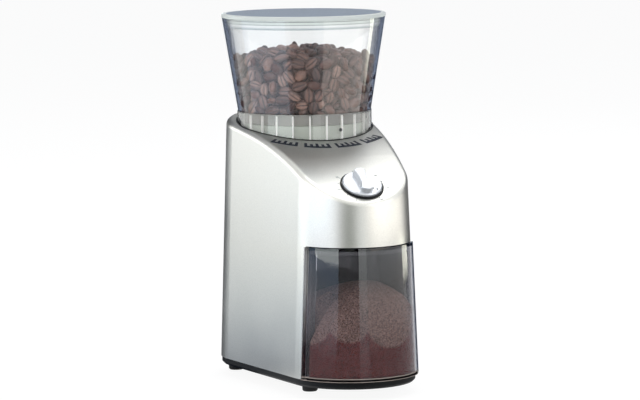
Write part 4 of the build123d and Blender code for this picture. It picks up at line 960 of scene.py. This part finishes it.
# %% A tree that puts a piece on each point
def poured_pieces():
    """One piece on each point, turned and sized by the points' own attributes."""
    tree, given = new_tree("poured_pieces", {"Points": "Geometry", "Piece": "Object", "Finish": "Material"})
    piece = add(tree, "GeometryNodeObjectInfo", {"Object": given["Piece"]})
    turn, size = (add(tree, "GeometryNodeInputNamedAttribute", {"Name": name}, data_type="FLOAT_VECTOR")
                  for name in ("turn", "size"))
    placed = add(tree, "GeometryNodeInstanceOnPoints",
                 {"Points": given["Points"], "Instance": piece.outputs["Geometry"],
                  "Rotation": turn.outputs["Attribute"], "Scale": size.outputs["Attribute"]})
    return end_tree(tree, placed, given["Finish"])


pour = poured_pieces()
print("tree:", pour.name)

# %% [markdown]
# ## Bean skin
# Roasted beans are dark brown with a dull oily sheen, and each differs a little. The crease gets a
# dark line and each bean is darkened towards its outline: painted shade, for the shadow in the groove
# and between the beans. One painted map would look the same on every bean, so the tone is a value
# stored on each point, the crease and outline ones are stored on the mesh, and the shader reads
# them as attributes.

# %% Bean skin
bean_skin, tree = new_material("roasted_bean_skin")
tone = add(tree, "ShaderNodeAttribute", attribute_name="tone")
crease = add(tree, "ShaderNodeAttribute", attribute_name="crease")
colour = add(tree, "ShaderNodeValToRGB", {"Fac": tone.outputs["Fac"]},
             [(0.0, "#54352E"), (0.5, "#7E5B50"), (1.0, "#AC887A")])
place = add(tree, "ShaderNodeTexCoord")
mottle = add(tree, "ShaderNodeTexNoise", {"Vector": place.outputs["Object"], "Scale": 1 / (2.2 * MM),
                                         "Detail": 3.0})
blotch = add(tree, "ShaderNodeValToRGB", {"Fac": mottle.outputs["Fac"]}, [(0.3, "#9A9A9A"), (0.7, "#FFFFFF")])
skin_tone = add(tree, "ShaderNodeMix", {0: 0.55, 6: colour.outputs["Color"], 7: blotch.outputs["Color"]},
                data_type="RGBA", blend_type="MULTIPLY")
# Painted shade: each bean darkens towards its outline, where beans shade each other.
rim = add(tree, "ShaderNodeAttribute", attribute_name="outline")
outline_shade_share = add(tree, "ShaderNodeMapRange", {"Value": rim.outputs["Fac"], "From Min": 0.35, "To Max": 0.6})
outline_shaded = add(tree, "ShaderNodeMix", {0: outline_shade_share.outputs["Result"], 6: skin_tone.outputs[2], 7: linear("#24140F")},
            data_type="RGBA")
# Painted shade: a dark line along the crease's groove.
line = add(tree, "ShaderNodeValToRGB", {"Fac": crease.outputs["Fac"]}, [(0.45, "#000000"), (0.8, "#FFFFFF")])
dark = add(tree, "ShaderNodeMix", {0: line.outputs["Color"], 6: outline_shaded.outputs[2], 7: linear("#190C0A")},
           data_type="RGBA")
relief = add(tree, "ShaderNodeBump", {"Height": mottle.outputs["Fac"], "Strength": 0.35,
                                      "Distance": 0.2 * MM})
skin = add(tree, "ShaderNodeBsdfPrincipled",
           {"Base Color": dark.outputs[2], "Roughness": 0.46, "Normal": relief.outputs["Normal"], "IOR": 1.5})
add(tree, "ShaderNodeOutputMaterial", {"Surface": skin.outputs[0]})
print("bean finish:", bean_skin.name)

# %% Pour the beans
points = bpy.data.meshes.new("bean_points")
points.from_pydata([tuple(p) for p in places], [], [])
mark(points, "turn", [v for t in turns for v in t], "FLOAT_VECTOR")
mark(points, "size", np.repeat(rng.uniform(0.9, 1.08, len(places)), 3), "FLOAT_VECTOR")
mark(points, "tone", rng.uniform(0, 1, len(places)))
beans = new_object("coffee_beans", grow(pour, "coffee_beans", {
    "Base": points, "Piece": bean, "Finish": bean_skin}))
bpy.data.objects.remove(bean)
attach(beans, "hopper")
print("beans:", len(beans.data.polygons), "faces")

# %% [markdown]
# ## Ground coffee
# The drawer holds a heap of grounds that lies against its round front. Its surface slopes down to
# the wall in shallow hollows, so the line where it meets the wall rises and falls. It is one closed
# mesh: a top that follows a height rule, sides that follow the drawer's inner wall, and a foot on
# its floor. The sides are painted darker and redder than the loose top: painted shade on the grounds
# that lie against the wall. An attribute tells the shader which is which.

# %% Where the grounds meet the wall
drawer_surface = surface_of("bin_tub")
PEAK = Vector((14.5, -50.0, 78.3)) * MM
NOSE_Y = -53.8 * MM
GROUNDS_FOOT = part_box("bin_tub")[0].z + 2.45 * MM
WALL_GAP = 0.25 * MM
# Where the heap's surface meets the wall: turns from the front, round the nose, and heights in mm.
# A ridge, a low point, a ridge, and so on; behind the last ones the line is nearly level.
WALL_LINE = ((-98, 61.0), (-64, 40.0), (-40, 51.8), (-21, 42.8), (-5.5, 51.7), (19, 37.5), (60, 70.0))
BOWL = 0.97           # how much of a quarter circle a hollow follows: 1 makes the ridges sharpest
START_Z = 55 * MM     # first guess for the height at the wall, which four rounds then settle


def wall_point(turn, z):
    """From the heap's peak to the drawer's wall, in the direction turn from the front."""
    way = Vector((sin(turn), -cos(turn), 0))
    hit = drawer_surface.ray_cast(Vector((PEAK.x, PEAK.y, z)), way)[0]
    return hit - way * WALL_GAP


def wall_height(point):
    """Height of the heap at the wall: round hollows with sharp ridges between them."""
    turn = degrees(atan2(point.x, NOSE_Y - point.y))
    for (a, za), (b, zb) in zip(WALL_LINE, WALL_LINE[1:]):
        if a <= turn <= b:
            low, high = min(za, zb), max(za, zb)
            share = (turn - a) / (b - a) if zb > za else (b - turn) / (b - a)
            rise = (1 - sqrt(1 - (BOWL * share) ** 2)) / (1 - sqrt(1 - BOWL ** 2))
            return (low + (high - low) * rise) * MM
    (first, z_first), (last, z_last) = WALL_LINE[0], WALL_LINE[-1]
    behind = ((turn - last) % 360) / ((first - last) % 360)
    return (z_last + (z_first - z_last) * behind) * MM


print("grounds meet the front's middle at", round(wall_height(wall_point(0.0, START_Z)) / MM, 1), "mm")

# %% Mesh of the grounds
# The crown falls by DROP over these reaches: to the left and right, and to the front and back.
DROP = 30 * MM
REACH_X = (70 * MM, 45.5 * MM)
REACH_Y = (50 * MM, 90 * MM)
RIPPLE = 0.12 * MM


def crown_height(point):
    """Height of the smooth crown of the heap, before it falls the last way to the wall."""
    x, y = point.x - PEAK.x, point.y - PEAK.y
    return PEAK.z - DROP * ((x / REACH_X[x > 0]) ** 2 + (y / REACH_Y[y > 0]) ** 2)


def grounds_mesh(turns=240, rings=40, levels=10):
    """The heap: rings from the peak to the wall, levels down the wall, and a foot."""
    directions = [2 * pi * i / turns for i in range(turns)]
    vertices, rim = [PEAK], []
    for a in directions:
        z = START_Z
        for _ in range(4):
            z = wall_height(wall_point(a, z))
        rim.append(wall_point(a, z))
    for ring in range(1, rings + 1):
        share = ring / rings
        for edge in rim:
            flat = PEAK.lerp(edge, share)
            ripple = 0.0 if ring == rings else rng.normal(0, RIPPLE)
            z = crown_height(flat) - (crown_height(edge) - edge.z) * share ** 4
            vertices.append((flat.x, flat.y, z + ripple))
    for level in range(1, levels + 1):
        vertices += [wall_point(a, edge.z + (GROUNDS_FOOT - edge.z) * level / levels)
                     for a, edge in zip(directions, rim)]
    vertices.append((PEAK.x, PEAK.y, GROUNDS_FOOT))
    faces = [(0, 1 + i, 1 + (i + 1) % turns) for i in range(turns)]
    for ring in range(rings + levels - 1):
        a, b = 1 + ring * turns, 1 + (ring + 1) * turns
        faces += [(a + i, b + i, b + (i + 1) % turns, a + (i + 1) % turns) for i in range(turns)]
    a = 1 + (rings + levels - 1) * turns
    foot = len(vertices) - 1
    faces += [(foot, a + (i + 1) % turns, a + i) for i in range(turns)]
    made = link_mesh("ground_coffee", vertices, faces, smooth=True)
    mark(made.data, "wall_shade", [0.0] * (1 + rings * turns) + [1.0] * (levels * turns + 1))
    return made


grounds = grounds_mesh()
print("grounds:", len(grounds.data.polygons), "faces")

# %% Finish of the grounds
# Grounds are matt and granular: grains of 0.4 to 1 mm, each a slightly different brown. Cells give
# every grain a colour of its own, which noise would not.
grounds_finish, tree = new_material("medium_ground_coffee")
wall_shade = add(tree, "ShaderNodeAttribute", attribute_name="wall_shade")
place = add(tree, "ShaderNodeTexCoord")
grains = add(tree, "ShaderNodeTexVoronoi", {"Vector": place.outputs["Object"], "Scale": 1.0 / (0.75 * MM)})
# Painted shade: the sides against the wall get the darker, redder pair of colours.
loose, wall_shade_tone = (add(tree, "ShaderNodeValToRGB", {"Fac": grains.outputs["Color"]}, [(0.1, low), (0.9, high)])
                 for low, high in (("#4A2F28", "#9C7A70"), ("#42130F", "#722C28")))
colour = add(tree, "ShaderNodeMix", {0: wall_shade.outputs["Fac"], 6: loose.outputs["Color"],
                                     7: wall_shade_tone.outputs["Color"]}, data_type="RGBA")
relief = add(tree, "ShaderNodeBump", {"Height": grains.outputs["Distance"], "Strength": 0.5,
                                      "Distance": 0.3 * MM})
skin = add(tree, "ShaderNodeBsdfPrincipled",
           {"Base Color": colour.outputs[2], "Roughness": 0.9, "Normal": relief.outputs["Normal"],
            "IOR": 1.45})
add(tree, "ShaderNodeOutputMaterial", {"Surface": skin.outputs[0]})
grounds.data.materials.append(grounds_finish)
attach(grounds, "bin")
print("grounds finish:", grounds_finish.name)
